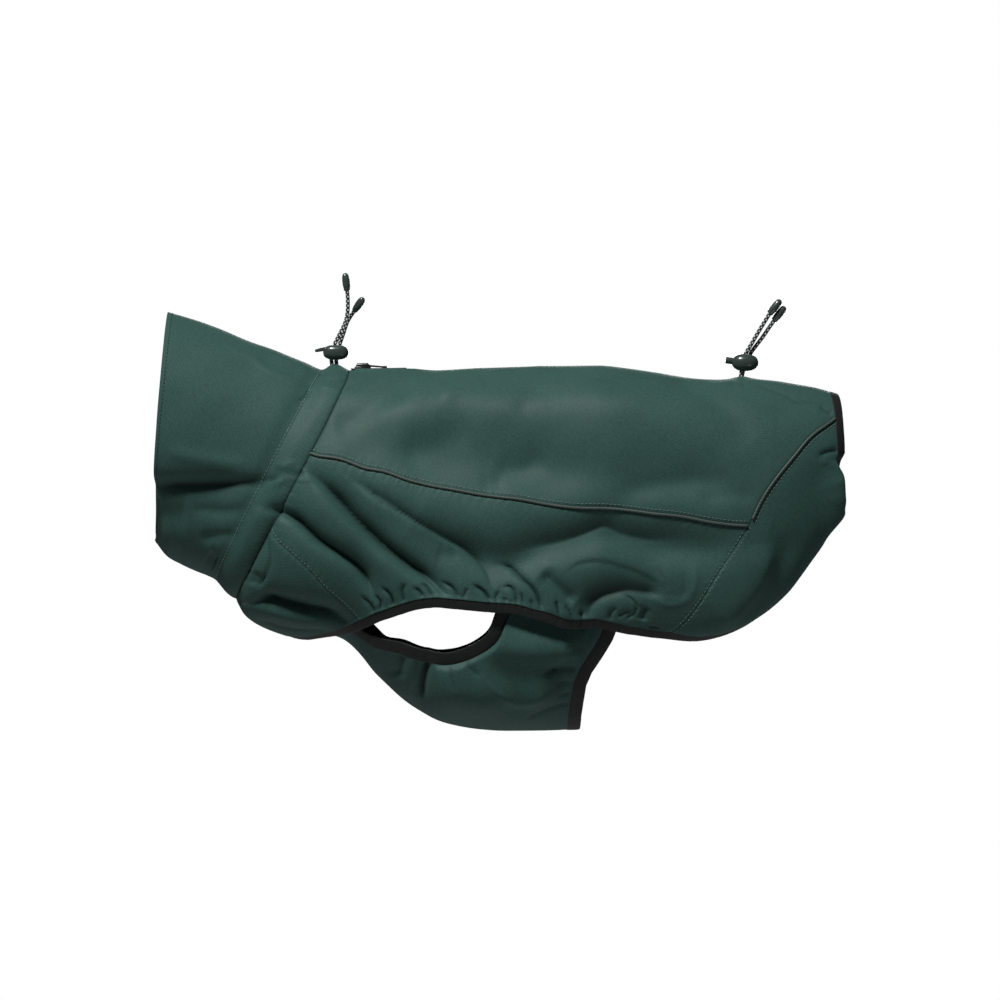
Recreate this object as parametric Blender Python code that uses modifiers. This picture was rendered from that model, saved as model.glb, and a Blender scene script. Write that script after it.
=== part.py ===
"""A dog's blanket coat with a high collar, as a worn and hollow garment.

The tables are in millimetres and degrees, and the model is in metres.
+X runs to the tail, -Y is the dog's left side and +Z is up.
The origin is on the inside of the back wall, over the withers.

The body, neck and belly are each a run of sections. A section is an oval that hangs
between a point on the back line (top) and a point on the under line (low). A place on
the cloth is a station, counted along the sections, and an angle round from the top:
0 is the back line, 90 is the widest place on the left and 180 is the under line.
"""
import math

import bmesh
import bpy
import numpy as np
from mathutils import Matrix, Vector

# ---------------------------------------------------------------- driving sizes, mm
MM = 0.001
WALL = 1.6                 # softshell cloth
BINDING_WIDTH = 7.5
BINDING_THICK = 2.6
BELLY_BINDING_THICK = 2.2
BELLY_BINDING_WIDTH = 9.2
TAIL_BINDING_WIDTH = 6.0
PIPING_RADIUS = 1.35
PIPING_CLEAR = 0.5         # between the piping and the panels under it
CORD_RADIUS = 1.5
TIP_LENGTH = 13.5
TIP_RADIUS = 2.9
SEAM_GAP = 0.3             # between two pieces that meet
SEAM_STATION = 0.012       # half a seam gap, counted in stations
SEAM_ANGLE = 0.18          # half a seam gap, counted in degrees
NECK_SEAM = 0.055          # the neck seam is a bend, so its two walls stand further off
BELLY_INSET = 4.2          # the belly panel runs inside the sides by this much
KEEL = 180                 # the angle of the under line
DEGREES_PER_STATION = 16   # a station is about as long on the cloth as this many degrees

# Sections of the body, neck seam to tail.
# top_x  top_z   low_x   low_z  half_width  low_gap  bow
BODY = np.array([
    (-90.75, 0.8, -175.5, -171.0, 60, 0, 5.0),
    (-82.5, 0.4, -167.2, -184.5, 64, 0, 4.0),
    (-70.5, 0.2, -150.0, -194.2, 68, 0, 2.5),
    (-55.5, 0.2, -125.2, -201.8, 71, 0, 1.5),
    (-39.0, 0.4, -96.8, -205.5, 74, 0, 0.5),
    (-22.5, 0.8, -70.5, -227.2, 76, 0, 0),
    (-6.0, 1.4, -44.2, -249.8, 77, 0, 0),
    (12.0, 2.0, -15.0, -263.2, 78, 0, 0),
    (33.75, 3.0, 20.2, -268.5, 78, 0, 0),
    (60.0, 3.8, 57.8, -269.2, 78, 0, 0),
    (97.5, 3.8, 97.5, -213.0, 77, 34, 0),
    (135.0, -0.8, 138.8, -201.8, 75, 42, 0),
    (172.5, -6.0, 175.6, -198.8, 71, 42, 0),
    (204.0, -5.8, 209.0, -187.0, 65, 40, 0),
    (228.8, -7.5, 235.1, -166.3, 59, 37, 0),
    (247.5, -10.5, 254.6, -141.3, 52, 33, 0),
    (262.5, -13.5, 269.1, -119.0, 45, 29, 0),
    (271.5, -16.1, 277.6, -100.4, 39, 26, 0),
    (276.0, -18.0, 279.9, -80.3, 34, 24, 0),
])
# Sections of the neck, neck seam to rim: 0 to 2 the cord casing, 2 to 7 the collar.
NECK = np.array([
    (-90.75, 0.8, -175.5, -171.0, 60, 0, 5.0),
    (-100.5, 3.4, -183.0, -166.1, 61, 0, 3.5),
    (-111.0, 0.8, -190.5, -157.3, 56, 0, 1.0),
    (-123.8, 6.8, -196.5, -153.8, 57, 0, 1.0),
    (-142.5, 14.2, -205.5, -150.0, 57, 0, 1.5),
    (-168.8, 24.0, -216.0, -145.1, 58, 0, 2.0),
    (-198.8, 36.0, -227.2, -138.8, 60, 0, 2.5),
    (-226.5, 44.2, -236.4, -127.5, 62, 0, 2.0),
])
# Sections of the belly panel, numbered as the body's.
BELLY = np.array([
    (-90.75, 0.8, -175.5, -171.0, 60, 0, 5.0),
    (-82.5, 0.4, -167.2, -184.5, 64, 0, 4.0),
    (-70.5, 0.2, -150.0, -194.2, 68, 0, 2.5),
    (-55.5, 0.2, -125.2, -201.0, 71, 0, 1.5),
    (-39.0, 0.4, -96.8, -205.0, 73, 0, 0.5),
    (-22.5, 0.8, -72.5, -230.8, 75, 0, 0),
    (-6.0, 1.4, -45.2, -254.8, 76, 0, 0),
    (12.0, 2.0, -15.0, -268.2, 75, 0, 0),
    (33.75, 3.0, 20.2, -273.2, 73, 0, 0),
    (60.0, 3.8, 57.8, -273.2, 68, 0, 0),
    (97.5, 3.8, 97.5, -272.3, 64, 0, 0),
    (135.0, -0.8, 138.8, -270.8, 62, 0, 0),
])

# Seam lines and cloth edges of the left half: station, angle
SIDE_SEAM = [(0, 74.5), (1.9, 71.5), (3.3, 74), (4.5, 75), (6.3, 72.5), (7.8, 73.5),
             (9, 76), (10, 89), (10.9, 93), (11.8, 95), (12.96, 102)]
REAR_SEAM = [(12.96, 102), (13.3, 92), (13.7, 84.5), (14.4, 75.5), (15.3, 66), (16.8, 57)]
RUMP_SEAM = [(12.96, 102), (12.66, 110), (12.2, 122.5), (11.8, 137), (11.5, 150),
             (11.26, 160)]
CHEST_SEAM = [(0, 113), (1.36, 114), (2.5, 119.5), (3.3, 128.5), (3.9, 136), (4.3, 140)]
HEM = [(4.3, 140), (4.7, 129.5), (5.2, 120.5), (5.7, 113.5), (6.2, 109.5), (6.6, 108),
       (7.2, 107), (7.9, 107), (8.5, 107), (9, 110), (9.35, 118), (9.7, 128.5),
       (10.1, 140.5), (10.45, 148.5), (10.7, 152), (11.26, 160)]
CHEST_HEM = [(2.5, 180), (2.5, 177.5), (2.6, 174), (2.85, 169), (3.2, 163.5), (3.66, 157.5),
             (4, 149.5), (4.3, 140)]
RUMP_EDGE = [(11.26, 160), (12, 170), (13, 177), (14, 180), (15.5, 180), (16.8, 180)]
BELLY_EDGE = [(2.9, 167), (3.5, 160), (4.2, 154.5), (4.9, 145.5), (5.6, 137), (6.3, 133),
              (6.8, 130.5), (7.3, 126.5), (7.7, 122), (7.95, 117.5), (8.1, 111),
              (8.3, 103), (8.8, 99), (9.4, 98), (10.2, 100)]
BELLY_EDGE_RIGHT = [(2.9, 167), (3.5, 158), (4.05, 149.8), (4.42, 147.0), (4.86, 145.8),
                    (5.11, 144.0), (5.56, 138.6), (6.22, 135), (6.72, 132), (7.31, 127.4),
                    (7.71, 122.8), (7.96, 118.2), (8.12, 112), (8.3, 104), (8.8, 99),
                    (9.4, 98), (10.2, 100)]
BELLY_REAR = [(10.2, 100), (10.14, 110), (10.0, 117), (9.85, 122), (9.62, 129.4), (9.5, 136),
              (9.45, 145), (9.41, 155), (9.38, 180)]
TAIL_STATION = 16.8

# Large folds of the left side, in side view. A negative depth is a trough.
# half_width, depth, then x, z along the fold
FOLDS = [
    (7, -5.0, (-147, -78), (-185, -83), (-228, -86)),
    (5, 2.6, (-150, -69), (-178, -68), (-205, -64)),
    (6, 2.0, (-195, 28), (-168, 16), (-141, -1)),
    (5, -2.2, (-200, -124), (-178, -121)),
    (6, -2.6, (-150, -22), (-148, -78), (-152, -86)),
    (7, -3.4, (-150, -138), (-146, -160), (-160, -172)),
    (5, -2.6, (-158, -172), (-122, -177), (-95, -184)),
    (6, -3.2, (-141, -102), (-93, -139), (-70, -168)),
    (7, -5.0, (-105, -86), (-61, -129), (-22, -163)),
    (8, 3.6, (-78, -88), (-37, -112), (7, -147)),
    (14, -3.0, (-45, -103), (18, -128)),
    (5, -3.6, (46, -124), (86, -115), (112, -112), (168, -117)),
    (5, -2.8, (76, -148), (97, -141), (120, -148), (148, -164)),
    (5, 2.2, (106, -160), (130, -171), (157, -168)),
    (5, -2.8, (51, -148), (80, -171)),
    (5, -2.4, (27, -145), (54, -176)),
    (9, -2.6, (-97, -42), (-53, -15), (-39, -8)),
    (6, 1.6, (-20, -20), (4, -2)),
    (12, -1.8, (18, -67), (58, -67)),
    (9, -2.8, (143, -14), (160, -38), (183, -57)),
    (8, -1.8, (124, -92), (178, -84)),
    (8, -2.2, (232, -72), (226, -112), (205, -150)),
    (6, 2.6, (217, -147), (206, -163), (195, -186)),
    (6, -2.8, (-35, -218), (-41, -246)),
    (4, -1.8, (-14, -219), (-11, -238)),
    (6, 2.2, (6, -236), (34, -246), (56, -242)),
    (5, -1.8, (42, -260), (70, -252)),
    (4, -1.8, (56, -224), (78, -224)),
]
# Gathers above the elastic hem, left side: x, lean, height, depth
GATHERS = [
    (-74, 5, 20, 1.6), (-59, 5, 18, 1.8), (-45, 4, 22, 1.8), (-38, 3, 14, 1.2),
    (-29, 3, 20, 1.8), (-20, 2, 16, 1.4), (-10, 0, 18, 1.6), (9, -2, 16, 1.6),
    (26, -3, 20, 2.2), (43, -2, 12, 1.0), (63, -3, 18, 1.6), (79, -3, 16, 1.8),
    (104, -4, 18, 1.8), (116, -4, 20, 2.0), (129, -3, 16, 1.6), (136, -3, 14, 1.2),
]
GATHER_HALF_WIDTH = 3.2

# How finely each piece is divided
RING_COLUMNS = 36
BACK_COLUMNS = 17
REAR_COLUMNS = 13
CHEST_COLUMNS = 12
CHEST_ACROSS = 15
SIDE_ROWS = 12
BELLY_ROWS = 19
BELLY_COLUMNS = 17
SIDE_SPLIT = 4.7           # station on the side seam above the chest seam's lower end
HEM_EXTRA = (34, 53, 71, 88, 96, 142)   # x of more places along the hem

# Small rises of the cloth where a cord comes out of its casing: x, radius, height
HUMPS = [(-102, 7, 1.4), (204.5, 8, 1.4)]

# The two cord locks. Cord routes: x, y, z
NECK_LOCK_CENTRE = (-100.5, 0, 14.0)
NECK_LOCK_RADII = (9.8, 6.6, 5.6)
NECK_SLOT_CENTRE = (-101.3, 0, 14.0)
NECK_SLOT_SIZE = (8.0, 4.2, 16)
NECK_SLOT_LEAN = 10
LEVER_SIZE = (10.5, 7.0, 2.2)
LEVER_CENTRE = (-109.6, 0, 16.2)
LEVER_TILT = 12
NECK_CORD_A = [(-103.6, 0, 5.4), (-103.9, 0, 9), (-103.2, 0, 13.5), (-101.7, 0, 19.5),
               (-98.8, 1.2, 25.7), (-94.1, 2.2, 35.3), (-92.1, 2.4, 42.9), (-91.7, 2.4, 52.5),
               (-92.3, 2.4, 61.1)]
NECK_CORD_B = [(-100.2, 0, 5.4), (-100.3, 0, 9), (-99.6, 0, 13.5), (-97.9, 0, 19.5),
               (-95, -1.2, 27.8), (-92.1, -2.4, 36.2), (-89.3, -4.2, 41), (-85.8, -7.6, 45.6)]
NECK_TIP_A = (-0.11, 0, 1.0)
NECK_TIP_B = (0.5, -0.55, 0.66)
REAR_LOCK_CENTRE = (206.3, 0, 6.4)
REAR_LOCK_RADII = (10.0, 7.5, 6.6)
REAR_SLOT_CENTRE = (207.0, 0, 7.0)
REAR_SLOT_SIZE = (8.4, 7.0, 22)
REAR_SLOT_LEAN = 18
BUTTON_CENTRE = (195.3, 0, 7.7)
BUTTON_RADIUS = 2.5
BUTTON_LONG = 7.5
BUTTON_TILT = 8
REAR_CORD_A = [(203.2, -1.8, -2.4), (203.8, -1.8, 1.5), (205, -1.7, 7), (206.7, -1.5, 12.8),
               (211.2, -1.3, 20.6), (215.9, -1.3, 28.7), (220.4, -1.3, 36.1), (225, -1.3, 43.5)]
REAR_CORD_B = [(204.4, 1.8, -2.4), (205.4, 1.8, 1.5), (207.8, 1.7, 7), (210.8, 1.5, 13.7),
               (215, 1.3, 19.5), (219.4, 1.3, 25.3), (224, 1.3, 32), (228.5, 1.3, 38.5)]
REAR_TIP_A = (0.63, 0, 0.78)
REAR_TIP_B = (0.62, 0, 0.78)

# The zip that closes the lead opening, along the back line
ZIP_START, ZIP_END = 0.16, 3.5          # stations
ZIP_HALF_ANGLE = 6.0
ZIP_THICK = 0.9
SLIDER_SIZE = (12.4, 8.5, 4.2)
SLIDER_CENTRE = (-80.2, 0, 3.95)
SLIDER_BASE = 1.2
BAIL_WIDTH = 2.0
BAIL_GAP = 1.9
BAIL_FRONT, BAIL_REAR = -84.5, -76.2
TAB_SIZE = (16.5, 5.0, 0.9)
TAB_PIN = (-77.3, 0, 4.05)
TAB_BAR = 1.0
TAB_EYE_END = 4.8
TAB_DROOP = 5

# ---------------------------------------------------------------- colours, sRGB 0 to 1
CLOTH_GREEN = (0.20, 0.30, 0.28)
TRIM_BLACK = (0.04, 0.05, 0.05)
PIPING_GREY = (0.33, 0.42, 0.39)
PLASTIC_DARK = (0.09, 0.11, 0.10)
METAL_DARK = (0.30, 0.31, 0.30)


# ---------------------------------------------------------------- the surface
def rows_between(table, station):
    """The section at a station, on a smooth curve through the table's rows."""
    station = np.asarray(station, float)
    last = len(table) - 1
    ends = np.vstack([2 * table[0] - table[1], table, 2 * table[-1] - table[-2]])
    row = np.clip(np.floor(station).astype(int), 0, last - 1)
    part = (station - row)[..., None]
    before, here, ahead, beyond = ends[row], ends[row + 1], ends[row + 2], ends[row + 3]
    return 0.5 * (2 * here + (ahead - before) * part
                  + (2 * before - 5 * here + 4 * ahead - beyond) * part ** 2
                  + (3 * here - before - 3 * ahead + beyond) * part ** 3)


def skin(table, station, angle):
    """Points of the smooth outer form, without folds. A negative angle is on the right."""
    section = rows_between(table, station)
    top_x, top_z, low_x, low_z, half, gap, bow = np.moveaxis(section, -1, 0)
    turn = np.radians(np.abs(angle))
    side = np.where(np.asarray(angle) < 0, 1.0, -1.0)
    drop = (1 - np.cos(turn)) / 2
    lean = bow * np.abs(np.sin(turn)) * (1 + np.cos(turn)) / 1.3
    reach = np.where(turn <= math.pi / 2, half * np.sin(turn), gap + (half - gap) * np.sin(turn))
    return np.stack([top_x + (low_x - top_x) * drop + lean, side * reach,
                     top_z + (low_z - top_z) * drop], -1)


def own_normal(table, station, angle):
    step = 0.02
    along = skin(table, station + step, angle) - skin(table, station - step, angle)
    around = skin(table, station, angle + 1) - skin(table, station, angle - 1)
    normal = np.cross(around, along)
    normal = normal / np.linalg.norm(normal, axis=-1, keepdims=True)
    return -normal if table is NECK else normal


def outward(table, station, angle):
    """Unit normals of the smooth form, pointing out. Neck and body agree at their seam."""
    station = np.asarray(station, float) + 0 * np.asarray(angle, float)
    normal = own_normal(table, station, angle)
    if table is BELLY:
        return normal
    start = np.zeros(station.shape)
    shared = own_normal(NECK, start + 0.02, angle) + own_normal(BODY, start + 0.02, angle)
    share = (1 - smooth(station / 0.8))[..., None]
    blend = normal * (1 - share) + share * shared / 2
    return blend / np.linalg.norm(blend, axis=-1, keepdims=True)


def spline(points, count):
    """Points at even steps along a smooth curve through a short list."""
    points = np.asarray(points, float)
    fine = rows_between(points, np.linspace(0, len(points) - 1, 40 * len(points)))
    scale = (DEGREES_PER_STATION, 1) if points.shape[1] == 2 else 1
    steps = np.linalg.norm(np.diff(fine * scale, axis=0), axis=1)
    lengths = np.concatenate([[0], np.cumsum(steps)])
    wanted = np.linspace(0, lengths[-1], count)
    return np.stack([np.interp(wanted, lengths, fine[:, k]) for k in range(points.shape[1])], -1)


def line(points):
    """The angle of a seam line as a function of its station."""
    fine = spline(points, 300)
    order = np.argsort(fine[:, 0])
    return lambda station: np.interp(station, fine[order, 0], fine[order, 1])


def smooth(value):
    value = np.clip(value, 0, 1)
    return value * value * (3 - 2 * value)


def crease(x, z, points, half_width):
    """1 on a crease in side view, falling off to 0 beside it and past its ends."""
    points = np.asarray(points, float)
    pieces = np.linalg.norm(np.diff(points, axis=0), axis=1)
    starts = np.concatenate([[0], np.cumsum(pieces)])
    nearest = np.full(x.shape, 1e9)
    place = np.zeros(x.shape)
    for (start, end, length, first) in zip(points[:-1], points[1:], pieces, starts):
        along = ((x - start[0]) * (end[0] - start[0]) + (z - start[1]) * (end[1] - start[1]))
        part = np.clip(along / length ** 2, 0, 1)
        away = np.hypot(x - start[0] - part * (end[0] - start[0]),
                        z - start[1] - part * (end[1] - start[1]))
        closer = away < nearest
        nearest = np.where(closer, away, nearest)
        place = np.where(closer, (first + part * length) / starts[-1], place)
    taper = smooth(np.minimum(place, 1 - place) / 0.3 + 0.25)
    return np.exp(-(nearest / half_width) ** 2) * taper


def fold_depth(points):
    """How far the folds move the cloth out, by its place in side view."""
    x, y, z = np.moveaxis(points, -1, 0)
    right = y > 0
    x_here = np.where(right, x + 7 * np.sin(z / 23.0), x)
    strength = np.where(right, 0.85, 1.0) * smooth(np.abs(y) / 16.0)
    depth = np.zeros(x.shape)
    for half_width, deep, *course in FOLDS:
        depth = depth + deep * crease(x_here, z, course, half_width)
    return depth * strength


def gather_depth(points):
    """The short gathers that the elastic draws into the cloth above the hem."""
    x, y, z = np.moveaxis(points, -1, 0)
    right = y > 0
    x_here = np.where(right, x + 5, x)
    hem = skin(BODY, *spline(HEM, 120).T)
    depth = np.zeros(x.shape)
    for place, lean, height, deep in GATHERS:
        foot = np.interp(place, hem[:, 0], hem[:, 2])
        course = [(place, foot - 6), (place + lean * 0.4, foot + 3), (place + lean, foot + height)]
        depth = depth - deep * crease(x_here, z, course, GATHER_HALF_WIDTH)
    return depth


def hump_height(points):
    x, y, z = np.moveaxis(points, -1, 0)
    upper = smooth((z + 20) / 15)
    return sum(high * np.exp(-(np.hypot(x - place, y) / radius) ** 2) * upper
               for place, radius, high in HUMPS)


def cloth(table, station, angle, out=0.0):
    """Points of the folded cloth, moved out by a distance."""
    points = skin(table, station, angle)
    move = out + fold_depth(points) + hump_height(points)
    if table is BODY:
        move = move + gather_depth(points)
    return points + outward(table, station, angle) * move[..., None]


# ---------------------------------------------------------------- making pieces
def clear_scene():
    for item in list(bpy.data.objects):
        bpy.data.objects.remove(item, do_unlink=True)


def linear(value):
    return value / 12.92 if value <= 0.04045 else ((value + 0.055) / 1.055) ** 2.4


def material(name, colour, roughness, metallic=0.0):
    made = bpy.data.materials.new(name)
    made.use_nodes = True
    shader = made.node_tree.nodes["Principled BSDF"]
    shader.inputs["Base Color"].default_value = (*map(linear, colour), 1)
    shader.inputs["Roughness"].default_value = roughness
    shader.inputs["Metallic"].default_value = metallic
    return made


def finish_piece(piece, name, finish):
    """Name a piece, give it its own material and keep it with the parts."""
    piece.name = name
    piece.data.name = name
    for home in list(piece.users_collection):
        home.objects.unlink(piece)
    PARTS.objects.link(piece)
    piece.data.materials.clear()
    piece.data.materials.append(material(name, *finish))
    return piece


def sheet(name, points, normals, finish, thick=WALL, ring=False):
    """A cloth wall: a flat slab whose points are moved to both faces of the cloth.

    Points and normals are grids (rows, columns, xyz), so two panels that share a seam
    have edges that stand the same way and keep their gap.
    """
    rows, columns = points.shape[:2]
    slab = bmesh.new()
    bmesh.ops.create_grid(slab, x_segments=columns - 1, y_segments=rows - 1, size=1)
    bmesh.ops.solidify(slab, geom=slab.faces[:], thickness=1)
    middle = sum(vertex.co.z for vertex in slab.verts) / len(slab.verts)
    wrap = [face for face in slab.faces
            if all(abs(abs(vertex.co.x) - 1) < 1e-4 for vertex in face.verts)]
    for vertex in slab.verts:
        column = round((vertex.co.x + 1) / 2 * (columns - 1))
        row = round((vertex.co.y + 1) / 2 * (rows - 1))
        face_side = 1 if vertex.co.z > middle else -1
        place = points[row, column] + normals[row, column] * face_side * thick / 2
        vertex.co = place * MM
    if ring:
        bmesh.ops.delete(slab, geom=wrap, context="FACES_ONLY")
        bmesh.ops.remove_doubles(slab, verts=slab.verts, dist=0.00005)
    if slab.calc_volume(signed=True) < 0:
        bmesh.ops.reverse_faces(slab, faces=slab.faces[:])
    mesh = bpy.data.meshes.new(name)
    slab.to_mesh(mesh)
    slab.free()
    mesh.shade_smooth()
    piece = bpy.data.objects.new(name, mesh)
    bpy.context.scene.collection.objects.link(piece)
    return finish_piece(piece, name, finish)


def panel(name, table, station, angle, finish, out=-WALL / 2, thick=WALL, ring=False):
    """A wall on the garment's form, from a grid of stations and angles."""
    points = cloth(table, station, angle, out)
    return sheet(name, points, outward(table, station, angle), finish, thick, ring)


def edge_band(name, table, course, width, thick, finish, out, away):
    """A strip along an edge: course holds stations and angles, away points off the cloth."""
    station, angle = course.T
    edge = cloth(table, station, angle, out)
    normals = outward(table, station, angle)
    side = np.cross(np.gradient(edge, axis=0), normals) * away
    if abs(abs(angle[0]) - KEEL) < 1:
        side[0, 1] = 0
    side = side / np.linalg.norm(side, axis=1, keepdims=True)
    points = np.stack([edge + side * SEAM_GAP, edge + side * (SEAM_GAP + width)])
    return sheet(name, points, np.stack([normals, normals]), finish, thick)


def tube(name, points, radius, finish, roundness=2):
    """A cord or piping through points: a curve with a round bevel and closed ends."""
    curve = bpy.data.curves.new(name, "CURVE")
    curve.dimensions = "3D"
    curve.bevel_depth = radius * MM
    curve.bevel_resolution = roundness
    curve.use_fill_caps = True
    run = curve.splines.new("POLY")
    run.points.add(len(points) - 1)
    for knot, place in zip(run.points, points):
        knot.co = (*(np.asarray(place) * MM), 1)
    piece = bpy.data.objects.new(name, curve)
    bpy.context.scene.collection.objects.link(piece)
    return finish_piece(piece, name, finish)


def block(name, size, centre, finish, bevel=0.4, tilt=0.0):
    """A box with rounded edges. tilt lifts its +X end, in degrees."""
    bpy.ops.mesh.primitive_cube_add(size=1, location=Vector(centre) * MM)
    piece = bpy.context.object
    piece.data.transform(Matrix.Diagonal((*(Vector(size) * MM), 1)))
    piece.rotation_euler.y = -math.radians(tilt)
    if bevel:
        rounding = piece.modifiers.new("rounding", "BEVEL")
        rounding.width = bevel * MM
        rounding.segments = 2
    return finish_piece(piece, name, finish)


def cutter(piece):
    """Turn a shape into a cutter that isn't part of the model."""
    PARTS.objects.unlink(piece)
    CUTTERS.objects.link(piece)
    piece.hide_render = True
    piece.display_type = "WIRE"
    return piece


def cut(piece, tool):
    change = piece.modifiers.new("cut " + tool.name, "BOOLEAN")
    change.operation = "DIFFERENCE"
    change.object = cutter(tool)


# ---------------------------------------------------------------- cloth panels
CLOTH = (CLOTH_GREEN, 0.75)
TRIM = (TRIM_BLACK, 0.8)
PIPE = (PIPING_GREY, 0.7)
PLASTIC = (PLASTIC_DARK, 0.35)
METAL = (METAL_DARK, 0.35, 1.0)
SIDES = (("left", 1), ("right", -1))


def ring_piece(name, first, last, rows):
    """A stretch of the neck tube, all the way round."""
    around = np.linspace(-KEEL, KEEL, RING_COLUMNS + 1)
    station, angle = np.meshgrid(np.linspace(first, last, rows), around, indexing="ij")
    panel(name, NECK, station, angle, CLOTH, ring=True)


def make_back_panel():
    reach = side_columns()[0][::2]
    rear = spline(REAR_SEAM, REAR_COLUMNS)
    station = np.concatenate([reach, rear[1:, 0]])
    edge = np.concatenate([line(SIDE_SEAM)(reach), rear[1:, 1]]) - SEAM_ANGLE
    across = np.linspace(-1, 1, BACK_COLUMNS)
    stations = np.repeat(station[:, None], len(across), 1)
    panel("back_panel", BODY, stations, edge[:, None] * across[None], CLOTH)


def hem_course():
    """Places along the hem: each gather's lowest place, the crests between, and a few more."""
    course = spline(HEM, 400)
    x = skin(BODY, *course.T)[:, 0]
    lows = [row[0] for row in GATHERS]
    crests = [(a + b) / 2 for a, b in zip(lows[:-1], lows[1:])]
    part = np.interp(sorted([x[0], *lows, *crests, *HEM_EXTRA, x[-1]]), x, np.arange(400))
    return np.stack([np.interp(part, np.arange(400), course[:, k]) for k in (0, 1)], -1)


def side_columns():
    """The side panel's columns: stations on the side seam, and places on its lower edge."""
    chest = spline(CHEST_SEAM, CHEST_COLUMNS)[:-1]
    hem = hem_course()
    split, corner = SIDE_SPLIT, SIDE_SEAM[-1][0]
    reach = np.concatenate([np.linspace(NECK_SEAM, split, CHEST_COLUMNS)[:-1],
                            np.interp(hem[:, 0], [HEM[0][0], HEM[-1][0]], [split, corner])])
    return reach, np.concatenate([chest, hem])


def seam_station(angle):
    """The rump seam's station at an angle."""
    seam = spline(RUMP_SEAM, 200)
    return np.interp(angle, seam[:, 1], seam[:, 0])


def side_rows():
    return (np.linspace(0, 1, SIDE_ROWS) ** 0.85)


def make_side_panels():
    reach, low = side_columns()
    top = np.stack([reach, line(SIDE_SEAM)(reach) + SEAM_ANGLE], -1)
    low = low.copy()
    low[:CHEST_COLUMNS - 1, 1] -= SEAM_ANGLE
    low[0, 0] = NECK_SEAM
    part = side_rows()[:, None, None]
    grid = (1 - part) * top[None] + part * low[None]
    straight = grid[:, -1, 0].copy()
    curved = seam_station(grid[:, -1, 1])
    for back, pull in enumerate((1.0, 0.8, 0.6, 0.35, 0.15)):
        grid[:, -1 - back, 0] += (curved - straight) * pull
    grid[:, -1, 0] -= SEAM_STATION
    for name, side in SIDES:
        panel("side_panel_" + name, BODY, grid[..., 0], grid[..., 1] * side, CLOTH)


def make_rump_panels():
    top = spline(REAR_SEAM, REAR_COLUMNS)
    low = spline(RUMP_EDGE, REAR_COLUMNS)
    part = side_rows()
    front_angle = top[0, 1] + (low[0, 1] - top[0, 1]) * part
    front = np.stack([seam_station(front_angle), front_angle], -1)
    rear_angle = top[-1, 1] + (low[-1, 1] - top[-1, 1]) * part
    rear = np.stack([np.full(SIDE_ROWS, TAIL_STATION), rear_angle], -1)
    u = np.linspace(0, 1, REAR_COLUMNS)[None, :, None]
    v = part[:, None, None]
    corners = ((1 - u) * (1 - v) * top[0] + u * (1 - v) * top[-1]
               + (1 - u) * v * low[0] + u * v * low[-1])
    grid = ((1 - v) * top[None] + v * low[None] + (1 - u) * front[:, None]
            + u * rear[:, None] - corners)
    grid[0, :, 1] += SEAM_ANGLE
    grid[:, 0, 0] += SEAM_STATION
    for name, side in SIDES:
        panel("rump_panel_" + name, BODY, grid[..., 0], grid[..., 1] * side, CLOTH)


def chest_places():
    """Stations and angles of the chest panel, left seam to right seam under the keel."""
    seam = spline(CHEST_SEAM, CHEST_COLUMNS)
    seam[0, 0] = NECK_SEAM
    middle = np.linspace(NECK_SEAM, CHEST_HEM[0][0], CHEST_COLUMNS)
    across = np.linspace(-1, 1, CHEST_ACROSS)
    half = KEEL - seam[:, 1] - SEAM_ANGLE
    angle = KEEL + half[:, None] * across[None]
    station = middle[:, None] + (seam[:, :1] - middle[:, None]) * across[None] ** 2
    edge = spline(CHEST_HEM, 100)
    wanted = np.interp(half[-1] * np.abs(across), KEEL - edge[:, 1], edge[:, 0])
    lower = (np.arange(CHEST_COLUMNS) / (CHEST_COLUMNS - 1))[:, None]
    return station + (wanted - station[-1])[None] * lower, angle


def make_chest_panel():
    station, angle = chest_places()
    panel("chest_panel", BODY, station, angle, CLOTH)


def belly_places():
    """Stations and angles of the belly panel, left edge to right edge under the keel."""
    left, right = spline(BELLY_EDGE, BELLY_ROWS), spline(BELLY_EDGE_RIGHT, BELLY_ROWS)
    across = np.linspace(0, 1, BELLY_COLUMNS)[None]
    station = left[:, :1] * (1 - across) + right[:, :1] * across
    angle = left[:, 1:] * (1 - across) + (2 * KEEL - right[:, 1:]) * across
    rear = np.array(BELLY_REAR)
    edge_angle = left[:, 1:] * (1 - across) + right[:, 1:] * across
    from_edge = np.minimum(angle, 2 * KEEL - angle)
    pull = (np.interp(from_edge, rear[:, 1], rear[:, 0])
            - np.interp(edge_angle, rear[:, 1], rear[:, 0]))
    share = (station - left[0, 0]) / (left[-1, 0] - left[0, 0])
    return station + pull * share, angle


def make_belly_panel():
    station, angle = belly_places()
    panel("belly_panel", BELLY, station, angle, CLOTH, out=-WALL / 2 - BELLY_INSET)


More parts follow.
